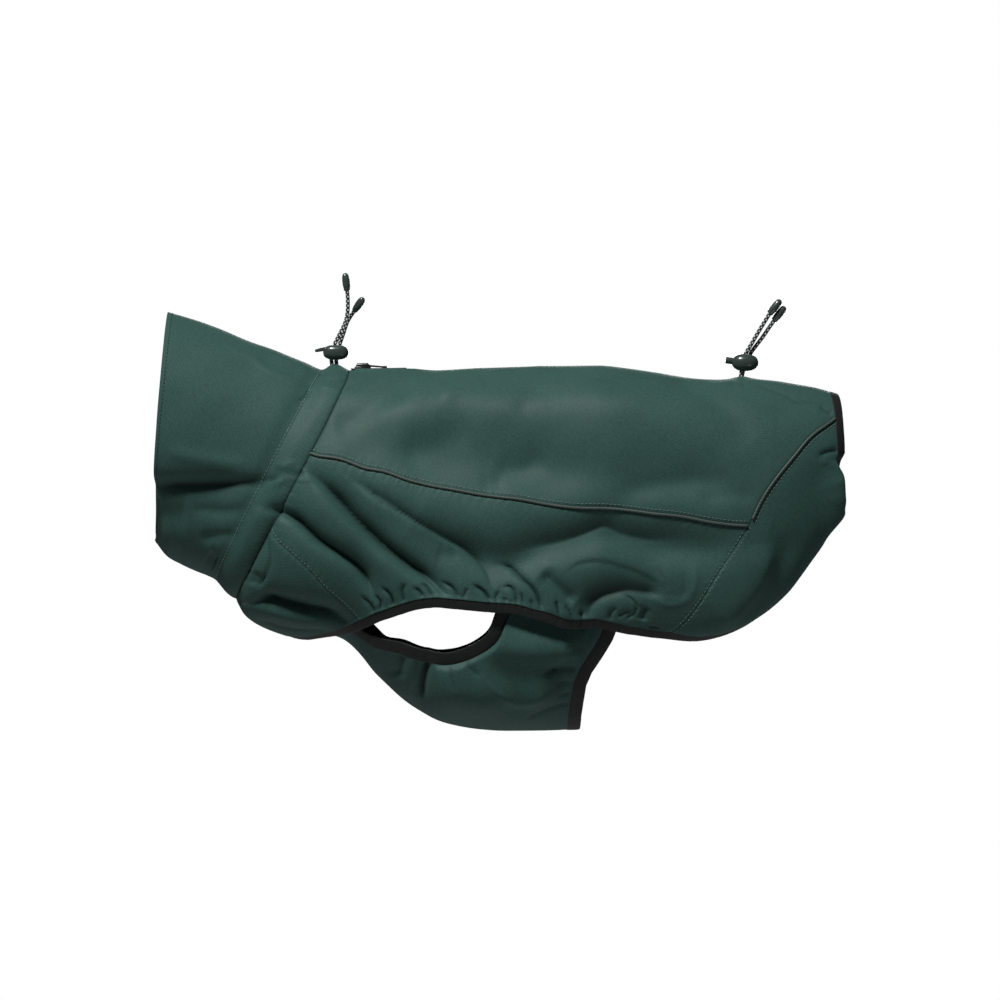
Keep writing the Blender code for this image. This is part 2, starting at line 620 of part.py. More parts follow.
# ---------------------------------------------------------------- bindings and piping
def make_bindings():
    station, angle = chest_places()
    half = slice(CHEST_ACROSS // 2, 0, -1)
    chest = np.stack([station[-1, half], angle[-1, half]], -1)
    chest[0, 1] -= SEAM_ANGLE
    rump = spline(RUMP_EDGE, REAR_COLUMNS)[1:]
    hem = np.concatenate([chest, hem_course(), rump])
    for name, side in SIDES:
        edge_band("hem_binding_" + name, BODY, hem * (1, side), BINDING_WIDTH, BINDING_THICK,
                  TRIM, -WALL / 2, side)
    tail = np.stack([np.full(25, TAIL_STATION), np.linspace(KEEL, -KEEL, 25)], -1)
    edge_band("tail_binding", BODY, tail, TAIL_BINDING_WIDTH, BINDING_THICK, TRIM, -WALL / 2, 1)
    inset = -WALL / 2 - BELLY_INSET
    for (name, side), edge in zip(SIDES, (BELLY_EDGE, BELLY_EDGE_RIGHT)):
        hole = spline(edge, BELLY_ROWS)
        hole = hole[hole[:, 1] > 106]
        edge_band("belly_hole_binding_" + name, BELLY, hole * (1, side), BELLY_BINDING_WIDTH,
                  BELLY_BINDING_THICK, TRIM, inset, -side)
    station, angle = belly_places()
    rear = np.stack([station[-1], angle[-1]], -1)
    edge_band("belly_rear_binding", BELLY, rear, BELLY_BINDING_WIDTH, BELLY_BINDING_THICK, TRIM,
              inset, -1)


def make_piping():
    reach = side_columns()[0][::2]
    height = PIPING_RADIUS + PIPING_CLEAR
    rear = spline(REAR_SEAM, REAR_COLUMNS)[1:-1]
    for name, side in SIDES:
        angle = line(SIDE_SEAM)(reach) * side
        tube("side_piping_" + name, cloth(BODY, reach, angle, height), PIPING_RADIUS, PIPE, 1)
        tube("rear_piping_" + name, cloth(BODY, rear[:, 0], rear[:, 1] * side, height),
             PIPING_RADIUS, PIPE, 1)


# ---------------------------------------------------------------- zip
def make_zip():
    station, angle = np.meshgrid(np.linspace(ZIP_START, ZIP_END, 9),
                                 np.linspace(-ZIP_HALF_ANGLE, ZIP_HALF_ANGLE, 4), indexing="ij")
    panel("zip_tape", BODY, station, angle, TRIM, SEAM_GAP + ZIP_THICK / 2, ZIP_THICK)
    long, wide, tall = SLIDER_SIZE
    x, _, z = SLIDER_CENTRE
    slider = block("zip_slider", SLIDER_SIZE, SLIDER_CENTRE, METAL, 0.5)
    shoulder = z - tall / 2 + SLIDER_BASE
    for name, side in SIDES:
        clear = (long + 2, wide / 2, tall)
        place = (x, side * (BAIL_WIDTH / 2 + wide / 4), shoulder + tall / 2)
        cut(slider, block("clear_shoulder_" + name, clear, place, METAL, 0))
    window = (BAIL_REAR - BAIL_FRONT, wide, BAIL_GAP)
    place = ((BAIL_REAR + BAIL_FRONT) / 2, 0, shoulder + BAIL_GAP / 2)
    cut(slider, block("clear_bail", window, place, METAL, 0))


def make_pull_tab():
    """A plate with an eye round the slider's bail. Its origin is on the hinge line."""
    long, wide, thick = TAB_SIZE
    bpy.ops.mesh.primitive_cube_add(size=1)
    tab = bpy.context.object
    middle = long / 2 - TAB_BAR / 2
    tab.data.transform(Matrix.Translation((middle * MM, 0, 0))
                       @ Matrix.Diagonal((long * MM, wide * MM, thick * MM, 1)))
    rounding = tab.modifiers.new("rounding", "BEVEL")
    rounding.width = 0.3 * MM
    rounding.segments = 2
    finish_piece(tab, "zip_pull_tab", METAL)
    eye_long = TAB_EYE_END - TAB_BAR / 2
    eye = block("clear_eye", (eye_long, BAIL_WIDTH + 0.9, 4),
                ((TAB_EYE_END + TAB_BAR / 2) / 2, 0, 0), METAL, 0)
    eye.parent = tab
    cut(tab, eye)
    tab.location = Vector(TAB_PIN) * MM
    tab.rotation_euler.y = math.radians(TAB_DROOP)


# ---------------------------------------------------------------- cord locks and cords
def lock_body(name, centre, radii, slot_centre, slot_size, slot_lean):
    """A cord lock: a rounded body with a slot that both strands pass through."""
    bpy.ops.mesh.primitive_uv_sphere_add(segments=20, ring_count=10, radius=MM,
                                         location=Vector(centre) * MM)
    body = bpy.context.object
    body.data.transform(Matrix.Diagonal((*radii, 1)))
    finish_piece(body, name, PLASTIC)
    cut(body, block(name + "_slot", slot_size, slot_centre, PLASTIC, 0, -slot_lean))
    return body


def cord_tip(name, end, direction):
    """A moulded cord end: a turned profile, standing on the end of its cord."""
    profile = [(0, 0), (0.72, 0), (0.9, 0.16), (1, 0.5), (0.96, 0.82), (0.66, 0.97), (0, 1)]
    mesh = bpy.data.meshes.new(name)
    points = [(radius * TIP_RADIUS * MM, 0, height * TIP_LENGTH * MM)
              for radius, height in reversed(profile)]
    mesh.from_pydata(points, [(k, k + 1) for k in range(len(points) - 1)], [])
    tip = bpy.data.objects.new(name, mesh)
    bpy.context.scene.collection.objects.link(tip)
    turning = tip.modifiers.new("turning", "SCREW")
    turning.steps = turning.render_steps = 12
    turning.use_merge_vertices = True
    turning.merge_threshold = 0.00001
    along = Vector(direction).normalized()
    tip.rotation_mode = "QUATERNION"
    tip.rotation_quaternion = along.to_track_quat("Z", "Y")
    tip.location = (Vector(end) + along * SEAM_GAP) * MM
    return finish_piece(tip, name, PLASTIC)


def make_cord(name, route, count, direction):
    points = spline(route, count)
    tube(name, points, CORD_RADIUS, TRIM)
    cord_tip(name + "_tip", points[-1], direction)


def make_locks():
    neck = lock_body("neck_cord_lock", NECK_LOCK_CENTRE, NECK_LOCK_RADII,
                     NECK_SLOT_CENTRE, NECK_SLOT_SIZE, NECK_SLOT_LEAN)
    block("neck_lock_lever", LEVER_SIZE, LEVER_CENTRE, PLASTIC, 0.6, LEVER_TILT)
    notch = [side + 2 * SEAM_GAP for side in LEVER_SIZE]
    cut(neck, block("clear_lever", notch, LEVER_CENTRE, PLASTIC, 0, LEVER_TILT))
    rear = lock_body("rear_cord_lock", REAR_LOCK_CENTRE, REAR_LOCK_RADII,
                     REAR_SLOT_CENTRE, REAR_SLOT_SIZE, REAR_SLOT_LEAN)
    for name, radius, long in (("rear_lock_button", BUTTON_RADIUS, BUTTON_LONG),
                               ("clear_button", BUTTON_RADIUS + SEAM_GAP, BUTTON_LONG)):
        bpy.ops.mesh.primitive_cylinder_add(vertices=16, radius=radius * MM, depth=long * MM,
                                            location=Vector(BUTTON_CENTRE) * MM)
        shape = bpy.context.object
        shape.rotation_euler.y = math.radians(90 + BUTTON_TILT)
        finish_piece(shape, name, PLASTIC)
        if name == "clear_button":
            shape.location.x += SEAM_GAP * MM
            cut(rear, shape)
        else:
            rounding = shape.modifiers.new("rounding", "BEVEL")
            rounding.width = 0.5 * MM
            rounding.segments = 2


def main():
    ring_piece("collar", 2 + 2 * SEAM_STATION, len(NECK) - 1, 10)
    ring_piece("neck_casing", NECK_SEAM, 2 - 2 * SEAM_STATION, 4)
    make_back_panel()
    make_side_panels()
    make_rump_panels()
    make_chest_panel()
    make_belly_panel()
    make_bindings()
    make_piping()
    make_zip()
    make_pull_tab()
    make_locks()
    make_cord("neck_cord_a", NECK_CORD_A, 12, NECK_TIP_A)
    make_cord("neck_cord_b", NECK_CORD_B, 11, NECK_TIP_B)
    make_cord("rear_cord_a", REAR_CORD_A, 10, REAR_TIP_A)
    make_cord("rear_cord_b", REAR_CORD_B, 10, REAR_TIP_B)


def new_collection(name):
    made = bpy.data.collections.new(name)
    bpy.context.scene.collection.children.link(made)
    return made


clear_scene()
PARTS = new_collection("dog_blanket_coat")
CUTTERS = new_collection("cutters")
main()
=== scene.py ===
"""Looks of a dog's softshell coat, worn and hollow, on the frame of its CAD solids.

The tables are in millimetres and degrees, and the pieces are in metres.
+X runs to the tail, -Y is the dog's left side and +Z is up.

The body, neck and belly are each a run of sections. A section is an oval that hangs
between a point on the back line (top) and a point on the under line (low). A place on
the cloth is a station, counted along the sections, and an angle round from the top:
0 is the back line, 90 is the widest place on the left and 180 is the under line.
"""

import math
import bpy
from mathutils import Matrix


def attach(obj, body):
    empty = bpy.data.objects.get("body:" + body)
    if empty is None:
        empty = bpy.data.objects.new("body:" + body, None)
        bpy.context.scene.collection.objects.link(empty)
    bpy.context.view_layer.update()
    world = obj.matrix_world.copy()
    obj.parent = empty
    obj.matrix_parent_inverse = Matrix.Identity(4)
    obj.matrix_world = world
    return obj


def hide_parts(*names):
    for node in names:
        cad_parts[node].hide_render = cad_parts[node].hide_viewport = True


bl_info = {
    "name": "Dog softshell coat",
    "version": (1, 0, 0),
    "blender": (4, 5, 0),
    "location": "3D View > Sidebar > Dog Coat",
    "description": "Sews the cloth, bindings, piping, stitching, zip and cord locks of a dog coat",
    "category": "Object",
}

import bpy
import numpy as np
from bpy.props import FloatProperty, FloatVectorProperty, PointerProperty
from mathutils import Matrix, Vector

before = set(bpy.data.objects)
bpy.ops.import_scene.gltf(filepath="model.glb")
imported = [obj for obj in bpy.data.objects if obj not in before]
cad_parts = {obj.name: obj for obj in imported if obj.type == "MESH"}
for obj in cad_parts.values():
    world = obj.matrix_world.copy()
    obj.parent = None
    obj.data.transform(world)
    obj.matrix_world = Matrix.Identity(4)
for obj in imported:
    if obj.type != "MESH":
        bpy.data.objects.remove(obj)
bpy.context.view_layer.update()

MM = 0.001
KEEL = 180                 # the angle of the under line
DEGREES_PER_STATION = 16   # a station is about as long on the cloth as this many degrees
SIDES = (("left", 1), ("right", -1))

# Sections of the body, neck seam to tail.
# top_x  top_z   low_x   low_z  half_width  low_gap  bow
BODY = np.array([
    (-90.75, 0.8, -175.5, -171.0, 60, 0, 5.0),
    (-82.5, 0.4, -167.2, -184.5, 64, 0, 4.0),
    (-70.5, 0.2, -150.0, -194.2, 68, 0, 2.5),
    (-55.5, 0.2, -125.2, -201.8, 71, 0, 1.5),
    (-39.0, 0.4, -96.8, -205.5, 74, 0, 0.5),
    (-22.5, 0.8, -70.5, -227.2, 76, 0, 0),
    (-6.0, 1.4, -44.2, -249.8, 77, 0, 0),
    (12.0, 2.0, -15.0, -263.2, 78, 0, 0),
    (33.75, 3.0, 20.2, -268.5, 78, 0, 0),
    (60.0, 3.8, 57.8, -269.2, 78, 0, 0),
    (97.5, 3.8, 97.5, -213.0, 77, 34, 0),
    (135.0, -0.8, 138.8, -201.8, 75, 42, 0),
    (172.5, -6.0, 175.6, -198.8, 71, 42, 0),
    (204.0, -5.8, 209.0, -187.0, 65, 40, 0),
    (228.8, -7.5, 235.1, -166.3, 59, 37, 0),
    (247.5, -10.5, 254.6, -141.3, 52, 33, 0),
    (262.5, -13.5, 269.1, -119.0, 45, 29, 0),
    (271.5, -16.1, 277.6, -100.4, 39, 26, 0),
    (276.0, -18.0, 279.9, -80.3, 34, 24, 0),
])
# Sections of the neck, neck seam to rim: 0 to 2 the cord casing, 2 to 7 the collar.
NECK = np.array([
    (-90.75, 0.8, -175.5, -171.0, 60, 0, 5.0),
    (-100.5, 3.0, -182.4, -166.1, 59, 0, 3.3),
    (-111.0, 0.8, -190.5, -157.3, 56, 0, 1.0),
    (-123.8, 6.8, -196.5, -153.8, 57, 0, 1.0),
    (-142.5, 14.2, -205.5, -150.0, 57, 0, 1.5),
    (-168.8, 24.0, -216.0, -145.1, 58, 0, 2.0),
    (-198.8, 36.0, -227.2, -138.8, 60, 0, 2.5),
    (-226.5, 44.2, -236.4, -127.5, 62, 0, 2.0),
])
# Sections of the belly panel, numbered as the body's.
BELLY = np.array([
    (-90.75, 0.8, -175.5, -171.0, 60, 0, 5.0),
    (-82.5, 0.4, -167.2, -184.5, 64, 0, 4.0),
    (-70.5, 0.2, -150.0, -194.2, 68, 0, 2.5),
    (-55.5, 0.2, -125.2, -201.0, 71, 0, 1.5),
    (-39.0, 0.4, -96.8, -205.0, 73, 0, 0.5),
    (-22.5, 0.8, -72.5, -230.8, 75, 0, 0),
    (-6.0, 1.4, -45.2, -254.8, 76, 0, 0),
    (12.0, 2.0, -15.0, -268.2, 75, 0, 0),
    (33.75, 3.0, 20.2, -273.2, 73, 0, 0),
    (60.0, 3.8, 57.8, -273.2, 68, 0, 0),
    (97.5, 3.8, 97.5, -272.3, 64, 0, 0),
    (135.0, -0.8, 138.8, -270.8, 62, 0, 0),
])

# Seam lines and cloth edges of the left half: station, angle
SIDE_SEAM = [(0, 74.5), (1.9, 71.5), (3.3, 74), (4.5, 75), (6.3, 72.5), (7.8, 73.5),
             (9, 76), (10, 89), (10.9, 93), (11.8, 95), (12.96, 102)]
REAR_SEAM = [(12.96, 102), (13.3, 92), (13.7, 84.5), (14.4, 75.5), (15.3, 66), (16.8, 57)]
RUMP_SEAM = [(12.96, 102), (12.66, 110), (12.2, 122.5), (11.8, 137), (11.5, 150),
             (11.26, 160)]
CHEST_SEAM = [(0, 113), (1.36, 114), (2.5, 119.5), (3.3, 128.5), (3.9, 136), (4.3, 140)]
HEM = [(4.3, 140), (4.7, 129.5), (5.2, 120.5), (5.7, 113.5), (6.2, 109.5), (6.6, 108),
       (7.2, 107), (7.9, 107), (8.5, 107), (9, 110), (9.35, 118), (9.7, 128.5),
       (10.1, 140.5), (10.45, 148.5), (10.7, 152), (11.26, 160)]
CHEST_HEM = [(2.5, 180), (2.5, 177.5), (2.6, 174), (2.85, 169), (3.2, 163.5), (3.66, 157.5),
             (4, 149.5), (4.3, 140)]
RUMP_EDGE = [(11.26, 160), (12, 170), (13, 177), (14, 180), (15.5, 180), (16.8, 180)]
BELLY_EDGE = [(2.9, 167), (3.5, 160), (4.2, 154.5), (4.9, 145.5), (5.6, 137), (6.3, 133),
              (6.8, 130.5), (7.3, 126.5), (7.7, 122), (7.95, 117.5), (8.1, 111),
              (8.3, 103), (8.8, 99), (9.4, 98), (10.2, 100)]
BELLY_EDGE_RIGHT = [(2.9, 167), (3.5, 158), (4.05, 149.8), (4.42, 147.0), (4.86, 145.8),
                    (5.11, 144.0), (5.56, 138.6), (6.22, 135), (6.72, 132), (7.31, 127.4),
                    (7.71, 122.8), (7.96, 118.2), (8.12, 112), (8.3, 104), (8.8, 99),
                    (9.4, 98), (10.2, 100)]
BELLY_REAR = [(10.2, 100), (10.14, 110), (10.0, 117), (9.85, 122), (9.62, 129.4), (9.5, 136),
              (9.45, 145), (9.41, 155), (9.38, 180)]
TAIL_STATION = 16.8
SIDE_SPLIT = 4.7           # station on the side seam above the chest seam's lower end
# The side panel's last columns lean to the rump seam: x on the hem, share of the lean
RUMP_PULL = ((122.5, 129, 132.5, 136, 142, 149), (0, 0.15, 0.35, 0.6, 0.8, 1))

# Folds of the left side, in side view: half width, depth, skew and x, z along the fold.
# A negative depth is a trough. A skew widens the side on the left, going along the fold.
# Soft folds, with a round bottom
FOLDS = [
    # collar
    (20, -6.5, -0.62, (-264, -89), (-235, -89), (-205, -88), (-168, -86)),
    (5, 1.5, 0, (-224, -61), (-191, -68), (-161, -73)),
    (4.5, -1.8, 0, (-207, -106), (-180, -107), (-164, -103)),
    (4, -1.8, 0, (-201, -127), (-187, -125), (-173, -123)),
    (5, -2.4, 0, (-196, -139), (-188, -144)),
    (9, -3, 0, (-235, -110), (-209, -111)),
    (4, -1.2, 0, (-157, 12), (-143, 4), (-124, -3)),
    # neck casing
    (3, 0.6, 0, (-152, -100), (-163, -120), (-171, -138), (-179, -150)),
    # side
    (9, -2.8, 0.2, (-141, -106), (-110, -129), (-84, -148), (-70, -170)),
    (6, 0.8, 0, (-111, -95), (-91, -115), (-73, -135), (-57, -152)),
    (9, -3.2, 0.2, (-107, -86), (-76, -120), (-44, -147), (-24, -161)),
    (5, -1.2, 0, (-25, -136), (-16, -138), (-8, -135)),
    (15, -10.5, 0.1, (-42, -114), (-18, -128), (8, -139), (30, -142), (52, -134), (74, -128),
     (96, -122), (118, -127), (140, -132), (169, -133), (202, -131)),
    (9, 0.3, 0, (37, -156), (67, -148), (96, -141), (125, -147), (155, -154)),
    (5, -4.5, 0, (53, -150), (61, -158), (69, -165), (78, -173)),
    # rump
    (10, 4, -0.4, (221, -130), (218, -144), (213, -157), (206, -169), (195, -180), (180, -191)),
    (9, -2, 0, (236, -119), (232, -141), (221, -167), (199, -186)),
    (9, 1.5, 0, (268, -78), (274, -89), (271, -103)),
    # back
    (24, -8, 0, (-102, -53), (-14, -67), (96, -76), (221, -82)),
    (18, 5, 0, (-95, -25), (8, -25), (125, -26), (228, -34)),
    (9, -3, 0, (-101, -44), (-84, -35), (-69, -25), (-52, -16), (-38, -13)),
    (5, 1.5, 0, (-22, -25), (-3, -14), (11, -6)),
    (12, -2.2, 0, (-51, -58), (-22, -53), (4, -42)),
    (8, -2, 0, (19, -69), (37, -73), (56, -61)),
    (6, -1, 0, (8, -84), (26, -82)),
    (9, -2.6, 0, (105, -98), (129, -87), (169, -82), (199, -86)),
    (8, -1.8, 0, (142, -6), (158, -12), (169, -20), (195, -37), (210, -53)),
    (6, -1.5, 0, (169, -95), (199, -93), (211, -97)),
    (5, -0.8, 0, (34, -34), (45, -23), (56, -14)),
    # chest
    (4, 1.5, 0, (-152, -179), (-132, -184), (-110, -186)),
    (5, -2.5, 0, (-157, -150), (-161, -161)),
    # belly
    (13, 10, 0, (8, -201), (37, -205), (85, -207)),
    (19, 11.5, 0, (-33, -232), (0, -239), (37, -242), (72, -236)),
    (5, -3.5, 0, (-54, -207), (-55, -220), (-57, -232)),
    (7, -2, 0, (22, -248), (45, -250), (67, -245)),
]
# Creases, with a sharp line
CREASES = [
    # collar
    (7, -4, -0.15, (-237, -89), (-224, -89), (-193, -87), (-162, -84), (-142, -81)),
    (2.2, 1.1, 0, (-180, 17), (-161, 8), (-148, -1), (-135, -6), (-123, -9)),
    (1.6, -0.9, 0, (-127, -24), (-121, -20), (-119, -14)),
    # neck casing
    (4, -2.2, -0.3, (-136, -97), (-144, -111), (-152, -128), (-161, -144), (-168, -158)),
    (1.6, -1.4, 0, (-152, -82), (-146, -82), (-141, -79), (-141, -75), (-144, -73)),
    (2, 0.9, 0, (-141, -73), (-130, -70)),
    (2.5, -1.1, 0, (-137, -75), (-127, -78), (-121, -76)),
    (2, 0.8, 0, (-152, -89), (-143, -85), (-135, -82)),
    (1.5, -0.8, 0, (-114, -3), (-105, -3)),
    (1.6, -0.6, 0, (-108, -8), (-95, -9), (-88, -6)),
    (1.6, 0.6, 0, (-113, -13), (-100, -14), (-91, -17)),
    # side
    (5, -7.5, 0.4, (-152, -103), (-141, -106), (-130, -111), (-120, -120), (-110, -129),
     (-95, -139), (-84, -148), (-76, -159), (-69, -171)),
    (5.5, -8.5, 0.4, (-120, -75), (-107, -86), (-95, -98), (-86, -109), (-76, -120),
     (-66, -130), (-55, -139), (-44, -147), (-33, -154), (-24, -161), (-16, -170)),
    (2, -0.8, 0, (-77, -85), (-69, -94), (-61, -102)),
    (5, -4, 0.6, (-86, -82), (-62, -97), (-47, -107), (-33, -116), (-18, -125), (-3, -134),
     (11, -148), (17, -163)),
    (6, -2, 0.3, (37, -135), (52, -130), (74, -125), (89, -120), (100, -116), (112, -122),
     (127, -126), (147, -128)),
    (3, -1.2, -0.6, (72, -150), (81, -144), (96, -142), (111, -146), (125, -151), (136, -157),
     (144, -164)),
    (10, -5.5, 0.55, (87, -185), (90, -175), (97, -169), (106, -166), (117, -164), (129, -165),
     (144, -167)),
    (4, 1, 0, (105, -169), (118, -165), (133, -169), (147, -174), (161, -169), (166, -157),
     (167, -141)),
    (1.3, -1.7, 0, (114, -167), (120, -171), (123, -176), (120, -181), (114, -185)),
    (2.2, -1.8, 0, (103, -186), (104, -180), (108, -176)),
    (2, -1.8, 0, (109, -183), (114, -180), (119, -179)),
    (3.5, -2.6, 0, (127, -186), (128, -180), (130, -175)),
    (1.6, -1.6, 0, (131, -191), (136, -191), (140, -192)),
    (2, -0.6, 0, (136, -147), (143, -154), (146, -164)),
    (2, -0.6, 0, (156, -151), (158, -160), (157, -168)),
    # gathers above the hem
    (1.5, -2.4, 0, (-80, -168), (-73, -175), (-67, -186)),
    (1.5, -2.4, 0, (-71, -167), (-66, -174), (-68, -186)),
    (1.6, -3, 0, (-65, -161), (-58, -168), (-54, -183)),
    (2, -2.2, 0, (-47, -158), (-49, -164), (-47, -175)),
    (1.5, -2.8, 0, (-41, -161), (-36, -165), (-29, -176)),
    (1.5, -2.8, 0, (-36, -158), (-30, -163), (-23, -177)),
    (1.6, -2.6, 0, (-20, -157), (-11, -163), (-5, -178)),
    (1.4, -1.4, 0, (-6, -173), (-1, -161)),
    (1.7, -3.4, 0, (3, -159), (10, -164), (14, -169), (17, -179)),
    (1.4, -2.6, 0, (25, -161), (30, -161), (34, -167), (35, -180)),
    (1.6, -2, 0, (22, -163), (20, -169), (21, -179)),
    (2.4, -2, 0, (24, -180), (27, -168)),
    (1.5, -2, 0, (29, -180), (31, -170)),
    (2, -3.6, 0.3, (21, -145), (26, -146), (31, -148), (37, -154), (45, -161), (50, -168),
     (54, -180)),
    (1.4, -2, 0, (38, -164), (41, -181)),
    (1.4, -1.6, 0, (45, -169), (48, -183)),
    (1.5, -2.2, 0, (64, -170), (67, -187)),
    (1.5, -2.2, 0, (71, -173), (78, -188)),
    (2, -2.8, 0, (83, -178), (83, -193)),
    # rump and tail
    (2, -1.8, 0, (258, -64), (266, -61), (274, -60)),
    (2, 0.9, 0, (259, -68), (266, -70), (272, -73)),
    (2, -1.4, 0, (260, -27), (266, -31), (270, -32)),
    # rear drawcord
    (1.8, -0.9, 0, (206, -8), (219, -13), (236, -20), (243, -24), (256, -25), (269, -27)),
    (1.8, -0.8, 0, (200, -6), (205, -14)),
    (1.8, -0.8, 0, (197, -7), (193, -14)),
    (2, 0.8, 0, (177, -12), (190, -11), (197, -7)),
    (1.8, -0.5, 0, (79, -2), (92, -9), (106, -10), (114, -14)),
    # back
    (1.8, 0.7, 0, (-91, -9), (-76, -6)),
    (2, 0.9, 0, (-68, -8), (-50, -4)),
    (2, 0.9, 0, (7, -5), (23, -2)),
    # chest
    (6, -9, 0.45, (-164, -174), (-150, -173), (-139, -176), (-124, -180), (-110, -183),
     (-91, -188)),
    (2.5, -1.8, 0, (-150, -124), (-148, -137), (-149, -148), (-155, -158), (-161, -165)),
    (2.5, -1.5, 0, (-160, -186), (-132, -193), (-105, -194)),
    # belly
    (4.5, -6, 0, (-30, -210), (-33, -220), (-36, -230), (-39, -246)),
    (2, -1.2, 0, (-42, -211), (-40, -219), (-41, -227)),
    (2, 1, 0, (-25, -216), (-22, -230), (-16, -245)),
    (1.8, -1.4, 0, (-17, -214), (-14, -223), (-9, -235)),
    (1.8, -1.4, 0, (-5, -214), (0, -220), (8, -226)),
    (4, 1.5, 0.3, (11, -228), (22, -237), (34, -244), (46, -243), (61, -237)),
    (3, -3.2, 0, (54, -225), (64, -221), (81, -222)),
    (2, -1.4, 0, (67, -214), (82, -218)),
    (2, -1.2, 0, (70, -203), (78, -206), (86, -207)),
    (1.8, -1, 0, (64, -232), (79, -232)),
    (1.8, -1, 0, (67, -241), (77, -241)),
    (2, -1.4, 0, (41, -258), (54, -252), (65, -249), (78, -250)),
]
# How round the bottom of a fold is: the higher, the rounder
ROUNDNESS = ((FOLDS, 1.2), (CREASES, 0.28))
FOLD_REACH = 3.6           # half widths over which a fold is felt
FOLD_FALL = (1.3, 0.5)     # how fast it falls off, and how much faster with a round bottom
FOLD_ENDS = (0.3, 0.25)    # share of its length over which it fades out, and its start
FAR_SHIFT = (7, 23.0)      # the right side's folds stand off the left's, in waves along z
FAR_STRENGTH = 0.85
FLAT_NEAR = 16.0           # folds fade out this near the back line and the under line
# Small rises of the cloth where a cord comes out of its casing: x, radius, height
HUMPS = [(-102, 6.5, 2.4), (204, 7, 1.8)]
HUMP_LEVEL = (-20, 15)     # they are above this z, and fade in over this height
# Slack in the cloth: wave lengths in x, y and z, phase, height
SWELLS = [(97, 90, 61, 0.4, 0.22), (53, 75, -72, 1.9, 0.12), (-44, 58, 39, 3.3, 0.07),
          (24, -43, 31, 5.1, 0.03)]
WAVE = 6.28                # one wave, in radians

CREASE_SHADE_DEPTH = 4.5           # painted shade: a crease this deep gets the cloth's colour fully darkened along its line
CREASE_SHADE_SHARPNESS = 3.0
NECK_SEAM_SHADE_WIDTH = 0.07     # stations: width of the painted shade along the neck seam
NECK_SEAM_SHADE = 0.9       # how dark the painted shade in its groove is, 0 to 1
SEAM_BLEND = 0.8           # stations over which the body's normals turn to the neck's
# The bulge of the cloth round the tail opening, and how it rolls in to the binding
TAIL_BULGE = 7.0
TAIL_ROLL = (4.0, 8.0)     # forwards, inwards
TAIL_FROM, TAIL_RUN = 15.2, 1.6         # stations
TAIL_TURN = 0.65           # share of the run where the roll starts
TAIL_ANGLES = ((92, 16), (150, 25))     # where the bulge starts and ends, and how softly
SEAM_DIP = 0.55            # how deep the cloth rolls into a seam, and how near the seam
SEAM_ROLL = 1.5
PUCKER = 0.34              # height of the small puckers that sewing leaves
PUCKER_REACH = 4.5
PUCKER_PITCH = 7.0
BOUND_FOLD = 0.25          # share of a fold that is left at a bound edge, and how near it
BOUND_REACH = 2.2
PITCH = 1.7                # spacing of the points on the cloth
MEET = 0.000002            # points this near are one, in metres
EDGE_STEPS = np.array([0, 0.35, 0.75, 1.25, 1.9, 2.8])
SIDE_FINE_FROM = 0.66      # from this share down, the side panel's rows are closer
RING_POINTS = 261

BINDING_WIDTH = 7.5
BINDING_THICK = 2.6
BELLY_BINDING_WIDTH = 9.2
BELLY_BINDING_THICK = 2.2
TAIL_BINDING_WIDTH = 6.0
BINDING_SUNK = 1.7         # the gathered cloth stands over its binding
BINDING_LAP = 1.2          # how far a binding reaches over the cloth it binds
CRIMP, CRIMP_PITCH = 0.07, 4.2
BELLY_INSET = 4.2          # the belly panel runs inside the sides by this much
BELLY_FREE = 106           # its edges are bound from this angle down
WALL = 1.6
PIPING_RADIUS = 1.0
PIPING_OUT = 0.6
SEAM_GAP = 0.3
STITCH_SUNK = 0.25         # a double row lies this deep in its seam
ROW_GAP = 1.5              # each row's distance from the seam
TOP_STITCH = 3.2
CHEST_STITCH = 1.6
RIM_STATION = 6.87
CASING_STATION = 2.08
CASING_SUNK = 0.3
STITCH_OUT = 0.05          # a stitch stands over the cloth by this much
STITCH_AIM = 0.4           # its direction is read this far before and after it

# Cord routes: x, y, z
NECK_CORD_A = [(-103.3, 0, 3.2), (-103.6, 0, 5.4), (-103.9, 0, 9), (-103.2, 0, 13.5),
               (-101.7, 0, 19.5), (-98.8, 1.2, 25.7), (-94.1, 2.2, 35.3), (-92.1, 2.4, 42.9),
               (-91.7, 2.4, 52.5), (-92.3, 2.4, 61.1)]
NECK_CORD_B = [(-100.1, 0, 3.2), (-100.2, 0, 5.4), (-100.3, 0, 9), (-99.6, 0, 13.5),
               (-97.9, 0, 19.5), (-95, -1.2, 27.8), (-92.1, -2.4, 36.2), (-89.3, -4.2, 41),
               (-85.8, -7.6, 45.6)]
REAR_CORD_A = [(202.9, -1.8, -5.4), (203.2, -1.8, -2.4), (203.8, -1.8, 1.5), (205, -1.7, 7),
               (206.7, -1.5, 12.8), (211.2, -1.3, 20.6), (215.9, -1.3, 28.7),
               (220.4, -1.3, 36.1), (225, -1.3, 43.5)]
REAR_CORD_B = [(203.8, 1.8, -5.4), (204.4, 1.8, -2.4), (205.4, 1.8, 1.5), (207.8, 1.7, 7),
               (210.8, 1.5, 13.7), (215, 1.3, 19.5), (219.4, 1.3, 25.3), (224, 1.3, 32),
               (228.5, 1.3, 38.5)]
# Each cord's name, route and the direction of its moulded end
CORDS = [("neck_cord_a", NECK_CORD_A, (-0.11, 0, 1.0)),
         ("neck_cord_b", NECK_CORD_B, (0.5, -0.55, 0.66)),
         ("rear_cord_a", REAR_CORD_A, (0.63, 0, 0.78)),
         ("rear_cord_b", REAR_CORD_B, (0.62, 0, 0.78))]
TIP_LENGTH = 13.5
TIP_RADIUS = 2.9
TIP_GRIP = 0.9             # how far the cord goes into its end
